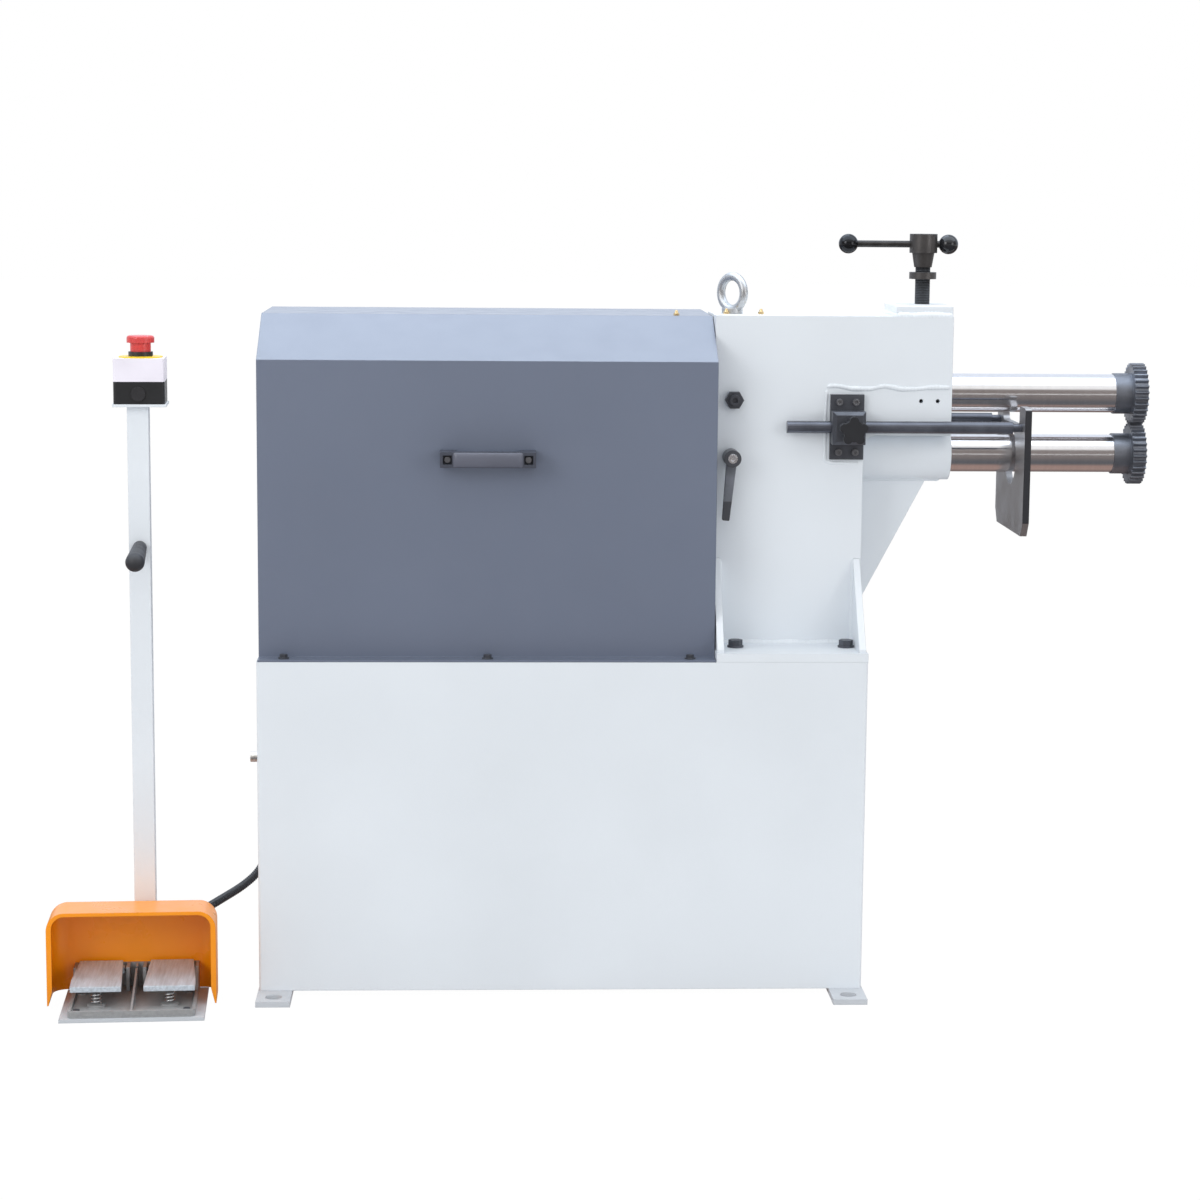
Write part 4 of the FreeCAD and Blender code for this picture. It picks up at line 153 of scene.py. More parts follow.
class Nodes:
    """A node tree under construction, with short calls for the nodes it is made of."""

    def __init__(self, tree):
        self.tree = tree

    def add(self, kind, **settings):
        node = self.tree.nodes.new("ShaderNode" + kind)
        for name, value in settings.items():
            setattr(node, name, value)
        return node

    def join(self, source, socket):
        self.tree.links.new(source, socket)

    def math(self, operation, first, second):
        """The result of an operation on two values, each a number or an output."""
        node = self.add("Math", operation=operation)
        for value, socket in zip((first, second), node.inputs):
            if isinstance(value, float):
                socket.default_value = value
            else:
                self.join(value, socket)
        return node.outputs["Value"]

    def coordinate(self, kind, letter):
        """One of the object's own or the world's generated coordinates."""
        coordinates = self.add("TexCoord")
        split = self.add("SeparateXYZ")
        self.join(coordinates.outputs[kind], split.inputs["Vector"])
        return split.outputs[letter]

    def remap(self, value, low, high, start=0.3, end=0.7):
        node = self.add("MapRange")
        self.join(value, node.inputs["Value"])
        node.inputs["From Min"].default_value = start
        node.inputs["From Max"].default_value = end
        node.inputs["To Min"].default_value = low
        node.inputs["To Max"].default_value = high
        return node.outputs["Result"]

    def mix(self, value, low, high):
        """A colour between low and high, each a colour or an output."""
        node = self.add("Mix", data_type="RGBA")
        self.join(value, node.inputs["Factor"])
        for colour, socket in ((low, node.inputs["A"]), (high, node.inputs["B"])):
            if isinstance(colour, tuple):
                socket.default_value = colour
            else:
                self.join(colour, socket)
        return node.outputs["Result"]

    def ray(self, kind):
        """1 for rays of a kind, else 0."""
        return self.add("LightPath").outputs[kind]

    def seen(self):
        """1 where the camera looks, by itself or in a reflection, else 0."""
        return self.math("MAXIMUM", self.ray("Is Camera Ray"), self.ray("Is Glossy Ray"))


class Finish(Nodes):
    """A procedural material under construction."""

    def __init__(self, name, metallic=0.0, edge=0.0009, **sockets):
        self.material = bpy.data.materials.new(name)
        self.material.use_nodes = True
        super().__init__(self.material.node_tree)
        self.shader = self.tree.nodes["Principled BSDF"]
        self.output = self.tree.nodes["Material Output"]
        self.shader.inputs["Metallic"].default_value = metallic
        for socket, value in sockets.items():
            self.shader.inputs[socket.replace("_", " ")].default_value = value
        self.normal = None
        if edge:
            self.round_edges(edge)

    def round_edges(self, radius):
        """Edges that catch the light as if they were rounded to a radius."""
        rounding = self.add("Bevel", samples=4)
        rounding.inputs["Radius"].default_value = radius
        self.normal = rounding.outputs["Normal"]
        self.join(self.normal, self.shader.inputs["Normal"])

    def place(self, stretch):
        coordinates = self.add("TexCoord")
        mapping = self.add("Mapping")
        mapping.inputs["Scale"].default_value = stretch
        self.join(coordinates.outputs["Object"], mapping.inputs["Vector"])
        return mapping.outputs["Vector"]

    def noise(self, scale, stretch=(1, 1, 1), detail=3.0):
        node = self.add("TexNoise")
        node.inputs["Scale"].default_value = scale
        node.inputs["Detail"].default_value = detail
        self.join(self.place(stretch), node.inputs["Vector"])
        return node.outputs["Fac"]

    def cells(self, scale):
        node = self.add("TexVoronoi")
        node.inputs["Scale"].default_value = scale
        self.join(self.place((1, 1, 1)), node.inputs["Vector"])
        return node.outputs["Distance"]

    def waves(self, scale):
        """Even bands from bottom to top."""
        node = self.add("TexWave", bands_direction="Z")
        node.inputs["Scale"].default_value = scale
        node.inputs["Distortion"].default_value = 0.0
        self.join(self.place((1, 1, 1)), node.inputs["Vector"])
        return node.outputs["Fac"]

    def between(self, letter, low, high):
        """1 where a coordinate lies between two values, else 0."""
        value = self.coordinate("Object", letter)
        return self.math("MULTIPLY", self.math("GREATER_THAN", value, low),
                         self.math("LESS_THAN", value, high))

    def near(self, centre, radius, keep=(1, 1, 1)):
        """1 within a radius of a point, or of a line through it along an axis that isn't kept."""
        coordinates = self.add("TexCoord")
        shift = self.add("VectorMath", operation="SUBTRACT")
        flat = self.add("VectorMath", operation="MULTIPLY")
        length = self.add("VectorMath", operation="LENGTH")
        self.join(coordinates.outputs["Object"], shift.inputs[0])
        shift.inputs[1].default_value = centre
        self.join(shift.outputs["Vector"], flat.inputs[0])
        flat.inputs[1].default_value = keep
        self.join(flat.outputs["Vector"], length.inputs[0])
        return self.math("LESS_THAN", length.outputs["Value"], radius)

    def ramp(self, value, stops):
        """A colour that runs through stops, each a value and its colour."""
        low = stops[0][0]
        high = stops[-1][0]
        node = self.add("ValToRGB")
        self.join(self.remap(value, 0.0, 1.0, low, high), node.inputs["Fac"])
        marks = node.color_ramp.elements
        while len(marks) < len(stops):
            marks.new(0.5)
        for mark, (place, colour) in zip(marks, stops):
            mark.position = (place - low) / (high - low)
            mark.color = colour
        return node.outputs["Color"]

    def overlay(self, mask, colour, metallic, roughness):
        """Another finish where a mask is 1."""
        base = self.shader.inputs["Base Color"].links[0].from_socket
        self.colour(self.mix(mask, base, colour))
        was_metallic = self.shader.inputs["Metallic"].default_value
        self.join(self.remap(mask, was_metallic, metallic, 0.0, 1.0), self.shader.inputs["Metallic"])
        soft = self.add("Mix")
        self.join(mask, soft.inputs["Factor"])
        self.join(self.shader.inputs["Roughness"].links[0].from_socket, soft.inputs["A"])
        soft.inputs["B"].default_value = roughness
        self.join(soft.outputs["Result"], self.shader.inputs["Roughness"])

    def colour(self, source):
        self.join(source, self.shader.inputs["Base Color"])

    def roughness(self, value, low, high):
        self.join(self.remap(value, low, high), self.shader.inputs["Roughness"])

    def relief(self, height, depth, strength=1.0):
        node = self.add("Bump")
        node.inputs["Strength"].default_value = strength
        node.inputs["Distance"].default_value = depth
        self.join(height, node.inputs["Height"])
        if self.normal is not None:
            self.join(self.normal, node.inputs["Normal"])
        self.normal = node.outputs["Normal"]
        self.join(self.normal, self.shader.inputs["Normal"])


def shade(colour, factor):
    """The same colour, lighter or darker."""
    return (*(min(1.0, c * factor) for c in colour[:3]), 1.0)


def powder_coat(name, colour, gloss=0.42, depth=0.00009, edge=0.0012, coat=0.0):
    """Baked paint: fine orange peel, tone that drifts slightly over a panel, faint handling marks."""
    paint = Finish(name, edge=edge, IOR=1.5, Coat_Weight=coat, Coat_Roughness=0.22)
    wide = paint.remap(paint.noise(3.2, detail=2.0), 0.0, 1.0)
    tone = paint.mix(wide, shade(colour, 0.965), shade(colour, 1.035))
    speck = paint.remap(paint.noise(1440, detail=1.0), 0.0, 0.16, 0.5, 0.8)
    paint.colour(paint.mix(speck, tone, shade(colour, 0.82)))
    paint.roughness(paint.noise(26, detail=5.0), gloss - 0.06, gloss + 0.08)
    paint.relief(paint.noise(900, detail=2.0), depth)
    paint.relief(paint.noise(60, detail=1.0), 0.00012, 0.5)
    return paint.material


def turned_steel(name, colour, along_axis, gloss):
    """Ground or turned steel: fine rings round the axis and a slight drift in tone."""
    steel = Finish(name, metallic=1.0)
    stretch = {"X": (1, 0.02, 0.02), "Y": (0.02, 1, 0.02), "Z": (0.02, 0.02, 1)}[along_axis]
    rings = steel.noise(2600, stretch, detail=2.0)
    bands = steel.noise(160, stretch, detail=3.0)
    smudge = steel.noise(22, detail=4.0)
    drift = steel.mix(steel.remap(bands, 0.0, 1.0), shade(colour, 0.975), shade(colour, 1.025))
    steel.colour(steel.mix(steel.remap(smudge, 0.0, 0.3), drift, shade(colour, 0.93)))
    steel.roughness(smudge, gloss, gloss + 0.05)
    steel.relief(rings, 0.000002, 0.12)
    return steel.material


def black_oxide(name, colour, gloss, metallic):
    """Blackened steel: dark, slightly blue, with rubbed patches that shine more."""
    steel = Finish(name, metallic=metallic)
    rubbed = steel.noise(38, detail=5.0)
    fine = steel.noise(700, detail=3.0)
    tone = steel.mix(steel.remap(rubbed, 0.0, 1.0), shade(colour, 0.8), shade(colour, 1.3))
    steel.colour(steel.mix(steel.remap(fine, 0.0, 0.3), tone, shade(colour, 1.7)))
    steel.roughness(rubbed, gloss + 0.1, gloss - 0.04)
    steel.relief(fine, 0.00002)
    return steel.material


def zinc_plate(name, colour, gloss):
    """Zinc plating: soft shine with faint blotches."""
    steel = Finish(name, metallic=1.0)
    blotch = steel.cells(180)
    soft = steel.noise(90, detail=4.0)
    tone = steel.mix(steel.remap(soft, 0.0, 1.0), shade(colour, 0.9), shade(colour, 1.06))
    steel.colour(steel.mix(steel.remap(blotch, 0.0, 0.25, 0.1, 0.8), tone, shade(colour, 0.8)))
    steel.roughness(soft, gloss, gloss + 0.16)
    steel.relief(steel.noise(900, detail=2.0), 0.00001)
    return steel.material


def cast_metal(name, colour, gloss=0.55):
    """Sand cast surface: lumps of a few millimetres under a fine grain."""
    metal = Finish(name, metallic=0.2)
    lumps = metal.noise(170, detail=4.0)
    grain = metal.cells(900)
    tone = metal.mix(metal.remap(lumps, 0.0, 1.0), shade(colour, 0.86), shade(colour, 1.1))
    metal.colour(metal.mix(metal.remap(grain, 0.0, 0.3), tone, shade(colour, 0.75)))
    metal.roughness(lumps, gloss - 0.08, gloss + 0.12)
    metal.relief(lumps, 0.00035)
    metal.relief(grain, 0.00008)
    return metal.material


def moulded(name, colour, gloss, grain=1400, depth=0.00004, edge=0.001):
    """Moulded plastic: fine spark grain and a tone that drifts with wall thickness."""
    plastic = Finish(name, edge=edge, IOR=1.49)
    wide = plastic.noise(14, detail=2.0)
    plastic.colour(plastic.mix(plastic.remap(wide, 0.0, 1.0), shade(colour, 0.95),
                               shade(colour, 1.05)))
    plastic.roughness(plastic.noise(60, detail=4.0), gloss - 0.05, gloss + 0.09)
    plastic.relief(plastic.noise(grain, detail=2.0), depth)
    return plastic.material


def brushed_plate(name, colour, metallic=0.85, gloss=0.4, along_axis="Z", edge=0.0009,
                  streaked=False, contrast=0.1):
    """Plate brushed along one axis, with patches or streaks in tone and faint scratches."""
    plate = Finish(name, metallic=metallic, edge=edge)
    stretch = {"Y": (1, 0.03, 1), "Z": (1, 1, 0.03)}[along_axis]
    lines = plate.noise(1500, stretch, detail=3.0)
    patch = plate.noise(260, stretch, detail=4.0) if streaked else plate.noise(18, detail=4.0)
    tone = plate.mix(plate.remap(patch, 0.0, 1.0), shade(colour, 1 - contrast),
                     shade(colour, 1 + contrast))
    plate.colour(plate.mix(plate.remap(lines, 0.0, 0.35), tone, shade(colour, 0.75)))
    plate.roughness(patch, gloss - 0.06, gloss + 0.1)
    plate.relief(lines, 0.00002)
    return plate


def fence_finish(name, colour, dark):
    """Brushed plate whose cut front edge is still black."""
    plate = brushed_plate(name, colour)
    plate.overlay(plate.between("Y", -1.0, FENCE_EDGE), dark, 0.5, 0.36)
    return plate.material


def electronics(name, colour):
    """Module housings: matt plastic with moulded slots."""
    board = Finish(name)
    slots = board.waves(45)
    # The slots are coloured darker than the housing: painted shade inside them.
    board.colour(board.mix(board.remap(slots, 0.0, 1.0, 0.75, 0.95), colour, shade(colour, 0.55)))
    board.roughness(board.noise(200), 0.45, 0.62)
    board.relief(slots, 0.0003, 0.5)
    return board.material


def threaded_dark(name, colour):
    """Blackened screw: a metric thread along its length."""
    steel = Finish(name, metallic=0.6, edge=0.0)
    thread = steel.waves(math.pi / (10 * SCREW_PITCH))
    # The colour is darker in the thread's grooves and lighter on its crests: painted shade and painted
    # highlight.
    steel.colour(steel.mix(steel.remap(thread, 0.0, 1.0), shade(colour, 0.55), shade(colour, 1.3)))
    steel.roughness(steel.noise(60), 0.34, 0.46)
    steel.relief(thread, 0.0011, 0.7)
    return steel.material


def disc_and_collar(name, yellow, black):
    """The flat disc is yellow, its collar and the blanking plug are black plastic."""
    plastic = Finish(name, IOR=1.49, edge=0.0006)
    disc = plastic.between("Z", *YELLOW_DISC_HEIGHTS)
    grain = plastic.noise(1400, detail=2.0)
    soft = plastic.remap(plastic.noise(30), 0.0, 1.0)
    dark = plastic.mix(soft, shade(black, 0.8), shade(black, 1.3))
    light = plastic.mix(soft, shade(yellow, 0.96), yellow)
    plastic.colour(plastic.mix(disc, dark, light))
    plastic.roughness(grain, 0.26, 0.38)
    plastic.relief(grain, 0.00003)
    return plastic.material


def lever_finish(name, black, dark, bright):
    """Coated lever, darker at its hub and tip, with a bright screw in the hub."""
    lever = Finish(name, metallic=0.1, edge=0.0012)
    grain = lever.noise(1100, detail=3.0)
    wide = lever.noise(40, detail=4.0)
    lever.colour(lever.mix(lever.remap(wide, 0.0, 1.0), shade(black, 0.8), shade(black, 1.3)))
    lever.roughness(wide, 0.36, 0.5)
    lever.relief(grain, 0.00005)
    lever.overlay(lever.between("Z", 0.0, LEVER_TIP_TOP), dark, 0.1, 0.42)
    lever.overlay(lever.near(LEVER_SCREW_PLACE, LEVER_HUB_RADIUS, keep=(1, 0, 1)), dark, 0.1, 0.34)
    lever.overlay(lever.near(LEVER_SCREW_PLACE, LEVER_SCREW_RADIUS, keep=(1, 0, 1)), bright, 1.0, 0.22)
    return lever.material


def bar_with_balls(name, steel_colour, ball_colour):
    """Blackened cross bar with a glossy plastic ball at each end."""
    bar = Finish(name, metallic=0.6)
    worn = bar.noise(60, detail=5.0)
    bar.colour(bar.mix(bar.remap(worn, 0.0, 1.0), shade(steel_colour, 0.75), shade(steel_colour, 1.4)))
    bar.roughness(worn, 0.3, 0.45)
    bar.relief(bar.noise(800), 0.00001)
    for place in BALL_PLACES:
        bar.overlay(bar.near(place, BALL_REACH), ball_colour, 0.0, 0.12)
    return bar.material


SCREW_PITCH = 0.0025
FENCE_EDGE = -0.1976
YELLOW_DISC_HEIGHTS = (0.9288, 0.9308)
LEVER_SCREW_PLACE = (0.2458, -0.2, 0.786)
LEVER_SCREW_RADIUS = 0.0071
LEVER_HUB_RADIUS = 0.0135
LEVER_TIP_TOP = 0.7224
BALL_PLACES = ((0.4229, -0.0895, 1.0955), (0.5718, -0.0895, 1.0955))
BALL_REACH = 0.0149
WHITE = tint(224, 230, 236)
# A greyer copy of the white paint for the anchor feet and the stand plate: painted shade low by the
# floor.
SHADED_LOW_WHITE = tint(196, 201, 207)
MATERIALS = {
    "machine_paint": powder_coat("machine_paint", WHITE, gloss=0.42, edge=0.0016),
    "shaded_low_paint": powder_coat("shaded_low_paint", SHADED_LOW_WHITE, gloss=0.42, edge=0.0016),
    "cover_paint": powder_coat("cover_paint", tint(106, 115, 134), gloss=0.34, depth=0.00007,
                               edge=0.002, coat=0.5),
    "shaft_steel": turned_steel("shaft_steel", (0.84, 0.83, 0.84, 1), "X", gloss=0.14),
    "hidden_steel": turned_steel("hidden_steel", (0.6, 0.6, 0.6, 1), "X", gloss=0.25),
    "rod_black": black_oxide("rod_black", (0.098, 0.105, 0.128, 1), gloss=0.16, metallic=0.5),
    "oxide": black_oxide("oxide", (0.075, 0.08, 0.094, 1), gloss=0.36, metallic=0.5),
    "screw_steel": black_oxide("screw_steel", (0.19, 0.195, 0.21, 1), gloss=0.26, metallic=0.8),
    "roll_oxide": black_oxide("roll_oxide", (0.17, 0.182, 0.21, 1), gloss=0.36, metallic=0.8),
    "lever_black": lever_finish("lever_black", (0.16, 0.172, 0.2, 1), (0.07, 0.074, 0.086, 1),
                                (0.7, 0.7, 0.72, 1)),
    "fence_plate": fence_finish("fence_plate", (0.37, 0.365, 0.37, 1), (0.045, 0.047, 0.054, 1)),
    "bar_dark": black_oxide("bar_dark", (0.068, 0.064, 0.063, 1), gloss=0.36, metallic=0.6),
    "bar_with_balls": bar_with_balls("bar_with_balls", (0.045, 0.043, 0.042, 1), (0.016, 0.017, 0.02, 1)),
    "thread_dark": threaded_dark("thread_dark", (0.045, 0.047, 0.052, 1)),
    "zinc": zinc_plate("zinc", (0.56, 0.57, 0.58, 1), gloss=0.34),
    "nickel": zinc_plate("nickel", (0.82, 0.8, 0.76, 1), gloss=0.2),
    "brass": turned_steel("brass", (0.83, 0.62, 0.33, 1), "Z", gloss=0.2),
    "bronze": turned_steel("bronze", (0.6, 0.42, 0.26, 1), "X", gloss=0.3),
    "casting": cast_metal("casting", tint(160, 161, 162)),
    "gearbox_paint": cast_metal("gearbox_paint", tint(120, 128, 136), gloss=0.45),
    "treadle": brushed_plate("treadle", (0.62, 0.69, 0.76, 1), metallic=0.2, gloss=0.44,
                             along_axis="Y", edge=0.002, streaked=True, contrast=0.2).material,
    "spring_steel": turned_steel("spring_steel", (0.75, 0.75, 0.75, 1), "Z", gloss=0.24),
    "guard_orange": powder_coat("guard_orange", tint(252, 153, 6), gloss=0.3, depth=0.00005,
                                edge=0.0012, coat=0.3),
    "black_plastic": moulded("black_plastic", (0.017, 0.018, 0.02, 1), gloss=0.36),
    "handle_plastic": moulded("handle_plastic", tint(66, 70, 82), gloss=0.4, grain=900),
    # The crown is a lighter copy of the handle's plastic: painted light on its rounded front.
    "handle_crown_lit": moulded("handle_crown_lit", tint(95, 98, 111), gloss=0.36, grain=900),
    "grip_rubber": moulded("grip_rubber", (0.03, 0.031, 0.036, 1), gloss=0.5, grain=800),
    "knob_plastic": moulded("knob_plastic", (0.014, 0.015, 0.019, 1), gloss=0.5, grain=700,
                            depth=0.00008),
    "white_plastic": moulded("white_plastic", tint(239, 235, 246), gloss=0.38),
    "disc_and_collar": disc_and_collar("disc_and_collar", tint(246, 212, 30), (0.025, 0.025, 0.028, 1)),
    "red_cap": moulded("red_cap", tint(208, 70, 70), gloss=0.22, depth=0.00002),
    "module_grey": electronics("module_grey", tint(176, 180, 184)),
    "conduit_plastic": moulded("conduit_plastic", (0.022, 0.023, 0.028, 1), gloss=0.3, grain=600,
                               edge=0.0),
}

NODE_FINISH = {
    "base_cabinet": "machine_paint", "anchor_feet": "shaded_low_paint", "side_door": "machine_paint",
    "head_flange": "machine_paint", "head_frame": "machine_paint", "head_gussets": "machine_paint",
    "lower_arm_tube": "machine_paint", "arm_web": "machine_paint",
    "screw_boss_plate": "machine_paint", "stand_plate": "shaded_low_paint", "pole": "machine_paint",
    "drive_cover": "cover_paint", "cover_handle": "handle_plastic", "lock_barrel": "nickel",
    "electrics_panel": "module_grey", "hexagon_bolts": "oxide", "socket_screws": "screw_steel",
    "eye_bolt": "zinc", "grease_nipples": "brass", "pivot_studs_and_nuts": "oxide",
    "upper_bearing_block": "casting", "upper_bushes": "bronze", "upper_shaft": "shaft_steel",
    "lower_shaft": "shaft_steel", "upper_crimp_roll": "roll_oxide",
    "lower_crimp_roll": "roll_oxide", "upper_gear": "hidden_steel", "lower_gear": "hidden_steel",
    "lower_sleeve": "hidden_steel", "lower_bushes": "bronze", "gearbox": "gearbox_paint",
    "motor": "gearbox_paint", "gearmotor_stand": "gearbox_paint", "drive_pinion": "hidden_steel",
    "screw_nut": "bronze", "thrust_pad": "hidden_steel", "adjusting_screw": "thread_dark",
    "handle_hub": "bar_dark", "stop_ring": "bar_dark", "t_bar_with_balls": "bar_with_balls",
    "gauge_brackets": "oxide", "gauge_rods": "rod_black", "fence_plate": "fence_plate",
    "gauge_knob": "knob_plastic", "clamp_lever": "lever_black", "pole_grip": "grip_rubber",
    "pedal_base": "casting", "pedal_screws_and_pins": "oxide", "treadle_left": "treadle",
    "treadle_right": "treadle", "spring_left": "spring_steel", "spring_right": "spring_steel",
    "pedal_guard": "guard_orange", "stop_box_base": "black_plastic",
    "stop_box_lid": "white_plastic", "stop_disc_collar_and_plug": "disc_and_collar",
    "stop_stem": "black_plastic", "stop_cap": "red_cap", "conduit_glands": "black_plastic",
}


def dress_nodes():
    for name, finish in NODE_FINISH.items():
        slots = NODES[name].material_slots
        for slot in slots:
            slot.material = MATERIALS[finish]


# Conduit from the pedal stand to the gland low on the cabinet's left wall
CONDUIT_ROUTE = (
    (-0.5743, -0.2066, 0.0360), (-0.5768, -0.1567, 0.0360), (-0.5790, -0.0940, 0.0140),
    (-0.5795, -0.0120, 0.0077), (-0.5770, 0.0720, 0.0095), (-0.5640, 0.1360, 0.0250),
    (-0.5360, 0.1840, 0.0324), (-0.5020, 0.2110, 0.0480), (-0.4765, 0.2255, 0.0690),
    (-0.4625, 0.2310, 0.1020), (-0.4605, 0.2320, 0.1380), (-0.4605, 0.2320, 0.1680),
)
CONDUIT_CORE = 0.0061
CONDUIT_RIB = 0.0070
CONDUIT_PITCH = 0.0034
CONDUIT_RIB_SUNK = 0.0002
CONDUIT_RIB_ROUND = 0.0003
CONDUIT_SIDES = 20


def route_curve(name, points, thickness):
    data = bpy.data.curves.new(name, "CURVE")
    data.dimensions = "3D"
    data.resolution_u = 24
    data.bevel_depth = thickness
    data.bevel_resolution = 5
    data.use_fill_caps = thickness > 0
    spline = data.splines.new("NURBS")
    spline.points.add(len(points) - 1)
    for place, point in zip(spline.points, points):
        place.co = (*point, 1.0)
    spline.order_u = 3
    spline.use_endpoint_u = True
    return data


def add_conduit():
    """Corrugated conduit: a smooth core on the route's spline, with ribs that follow it."""
    bare = bpy.data.objects.new("conduit_line", route_curve("conduit_line", CONDUIT_ROUTE, 0.0))
    line_mesh = bpy.data.meshes.new_from_object(bare)
    line = [vertex.co.copy() for vertex in line_mesh.vertices]
    bpy.data.objects.remove(bare)
    material = MATERIALS["conduit_plastic"]
    core = link("conduit_core", route_curve("conduit_core", CONDUIT_ROUTE, CONDUIT_CORE),
                "machine", material)
    rings = []
    quarter = CONDUIT_PITCH / 4
    shoulder = CONDUIT_RIB - CONDUIT_RIB_ROUND
    profile = (CONDUIT_CORE - CONDUIT_RIB_SUNK, shoulder, CONDUIT_RIB, shoulder)
    for i, (centre, across, up) in enumerate(frames_along(along(line, quarter))):
        rings.append((centre, across, up, profile[i % 4]))
    verts, faces = tube_mesh(rings, CONDUIT_SIDES)
    ribs = mesh_piece("conduit_ribs", verts, faces, "machine", material)
    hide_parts("conduit")


# Weld beads, painted over: the radius of each, and how far its middle stands off its plate
BEAD_STEP = 0.0012
BEAD_SIDES = 12
BEAD_RIPPLE = 0.05
BEAD_WANDER = 0.09
BEAD_END_RINGS = 3
BEAD_END_WIDTH = 0.45
SEAM_RADIUS = 0.0037
SEAM_PROUD = 0.0012
PAD_RADIUS = 0.0034
PAD_PROUD = 0.0022
FOOT_RADIUS = 0.0056
GUSSET_THICK = 0.010
GUSSET_BEAD_RADIUS = 0.003
GUSSET_BEAD_SHORT = 0.003
BOSS_FRONT_RADIUS = 0.0066
BOSS_LEFT_RADIUS = 0.0045
WEB_RADIUS = 0.0026
WEB_PROUD = 0.0006
WEB_START = 0.002
WEB_END = 0.012
SEAM_POINTS = (
    (0.3860, 0.8880), (0.3920, 0.8900), (0.4050, 0.8895),
    (0.4210, 0.8862), (0.4510, 0.8858), (0.4620, 0.8885), (0.4710, 0.8900), (0.4830, 0.8885),
    (0.4940, 0.8858), (0.5160, 0.8856), (0.5350, 0.8880), (0.5520, 0.8884), (0.5690, 0.8880),
)
PAD_POINTS = ((0.3862, 0.8850), (0.3848, 0.8300), (0.3855, 0.7800), (0.3950, 0.7765), (0.4370, 0.7765))


def add_bead(name, points, radius):
    """A ridge along a joint, with faint ripples and a width that wanders a little."""
    frames = frames_along(along(points, BEAD_STEP))
    last = len(frames) - 1
    rings = []
    for i, (centre, across, up) in enumerate(frames):
        swell = 1 + BEAD_RIPPLE * math.sin(1.5 * i) + BEAD_WANDER * math.sin(0.13 * i + len(name))
        inward = min(i, last - i, BEAD_END_RINGS) / BEAD_END_RINGS
        width = BEAD_END_WIDTH + (1 - BEAD_END_WIDTH) * inward
        rings.append((centre, across, up, radius * swell * width))
    verts, faces = tube_mesh(rings, BEAD_SIDES)
    bead = mesh_piece(name, verts, faces, "machine", MATERIALS["machine_paint"])


def add_beads():
    """Beads where plates of the head meet, at the places that the photograph shows."""
    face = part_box("head_frame")[0][1]
    flange_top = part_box("head_flange")[1][2]
    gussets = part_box("head_gussets")
    boss_low, boss_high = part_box("screw_boss_plate")
    tube_low, tube_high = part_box("lower_arm_tube")
    web_low, web_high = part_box("arm_web")
    left = gussets[0][0] + GUSSET_THICK
    right = gussets[1][0] - GUSSET_THICK
    add_bead("bead_seam", [(x, face + SEAM_PROUD, z) for x, z in SEAM_POINTS], SEAM_RADIUS)
    add_bead("bead_pad", [(x, face + PAD_PROUD, z) for x, z in PAD_POINTS], PAD_RADIUS)
    add_bead("bead_foot", [(left, face, flange_top), (right, face, flange_top)], FOOT_RADIUS)
    for label, x in (("left", left), ("right", right)):
        top = gussets[1][2] - GUSSET_BEAD_SHORT
        add_bead("bead_gusset_" + label, [(x, face, flange_top), (x, face, top)], GUSSET_BEAD_RADIUS)
    corner = (boss_low[0], boss_low[1], boss_low[2])
    add_bead("bead_boss_front", [corner, (boss_high[0], boss_low[1], boss_low[2])], BOSS_FRONT_RADIUS)
    add_bead("bead_boss_left", [corner, (boss_low[0], boss_high[1], boss_low[2])], BOSS_LEFT_RADIUS)
    height = tube_low[2] + WEB_PROUD
    for label, y in (("front", web_low[1]), ("rear", web_high[1])):
        start = (tube_low[0] + WEB_START, y, height)
        end = (tube_high[0] - WEB_END, y, height)
        add_bead("bead_web_" + label, [start, end], WEB_RADIUS)


# Crown of the cover's handle
HANDLE_END = 0.0185
CROWN_RISE = 0.0042
CROWN_SLOPE = 0.004
CROWN_SUNK = 0.0004
CROWN_NARROWER = 0.001
CROWN_ROWS = 14
CROWN_COLUMNS = 30


def add_handle_crown():
    """The handle's bar is rounded between its end blocks."""
    low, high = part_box("cover_handle")
    left = low[0] + HANDLE_END
    right = high[0] - HANDLE_END
    middle = (high[2] + low[2]) / 2
    half = (high[2] - low[2] - CROWN_NARROWER) / 2
    verts = []
    faces = []
    for i in range(CROWN_COLUMNS + 1):
        x = left + (right - left) * i / CROWN_COLUMNS
        end = max(0.0, min(1.0, (x - left) / CROWN_SLOPE, (right - x) / CROWN_SLOPE))
        for k in range(CROWN_ROWS + 1):
            turn = math.pi * k / CROWN_ROWS
            rise = CROWN_RISE * math.sin(turn) * math.sqrt(end)
            verts.append((x, low[1] + CROWN_SUNK - rise, middle - half * math.cos(turn)))
    row = CROWN_ROWS + 1
    for i in range(CROWN_COLUMNS):
        for k in range(CROWN_ROWS):
            a = i * row + k
            faces.append((a, a + row, a + row + 1, a + 1))
    crown = mesh_piece("handle_crown_lit", verts, faces, "machine", MATERIALS["handle_crown_lit"])


# Ridges on the treadles
STAND_CORNER = (-0.7154, -0.3860)
STAND_TURN = math.radians(2.9)
PEDAL_MIDDLE = 0.1015
TREADLE_INNER = 0.0157
TREADLE_WIDE = 0.0725
TREADLE_FRONT = 0.030
TREADLE_BACK = 0.139
TREADLE_TOP = 0.0419
TREADLE_SLOPE = math.tan(math.radians(4.7))
OUTER_TAPER_FROM = 0.060
OUTER_TAPER = 0.0062
INNER_TAPER = 0.0046
TAPER_END = 0.140
RIDGE_PITCH = 0.0024
RIDGE_HALF = 0.0007
RIDGE_TALL = 0.0006
RIDGE_MARGIN = 0.0025
RIDGE_CLEAR = 0.0013
RIDGE_SUNK = 0.0001


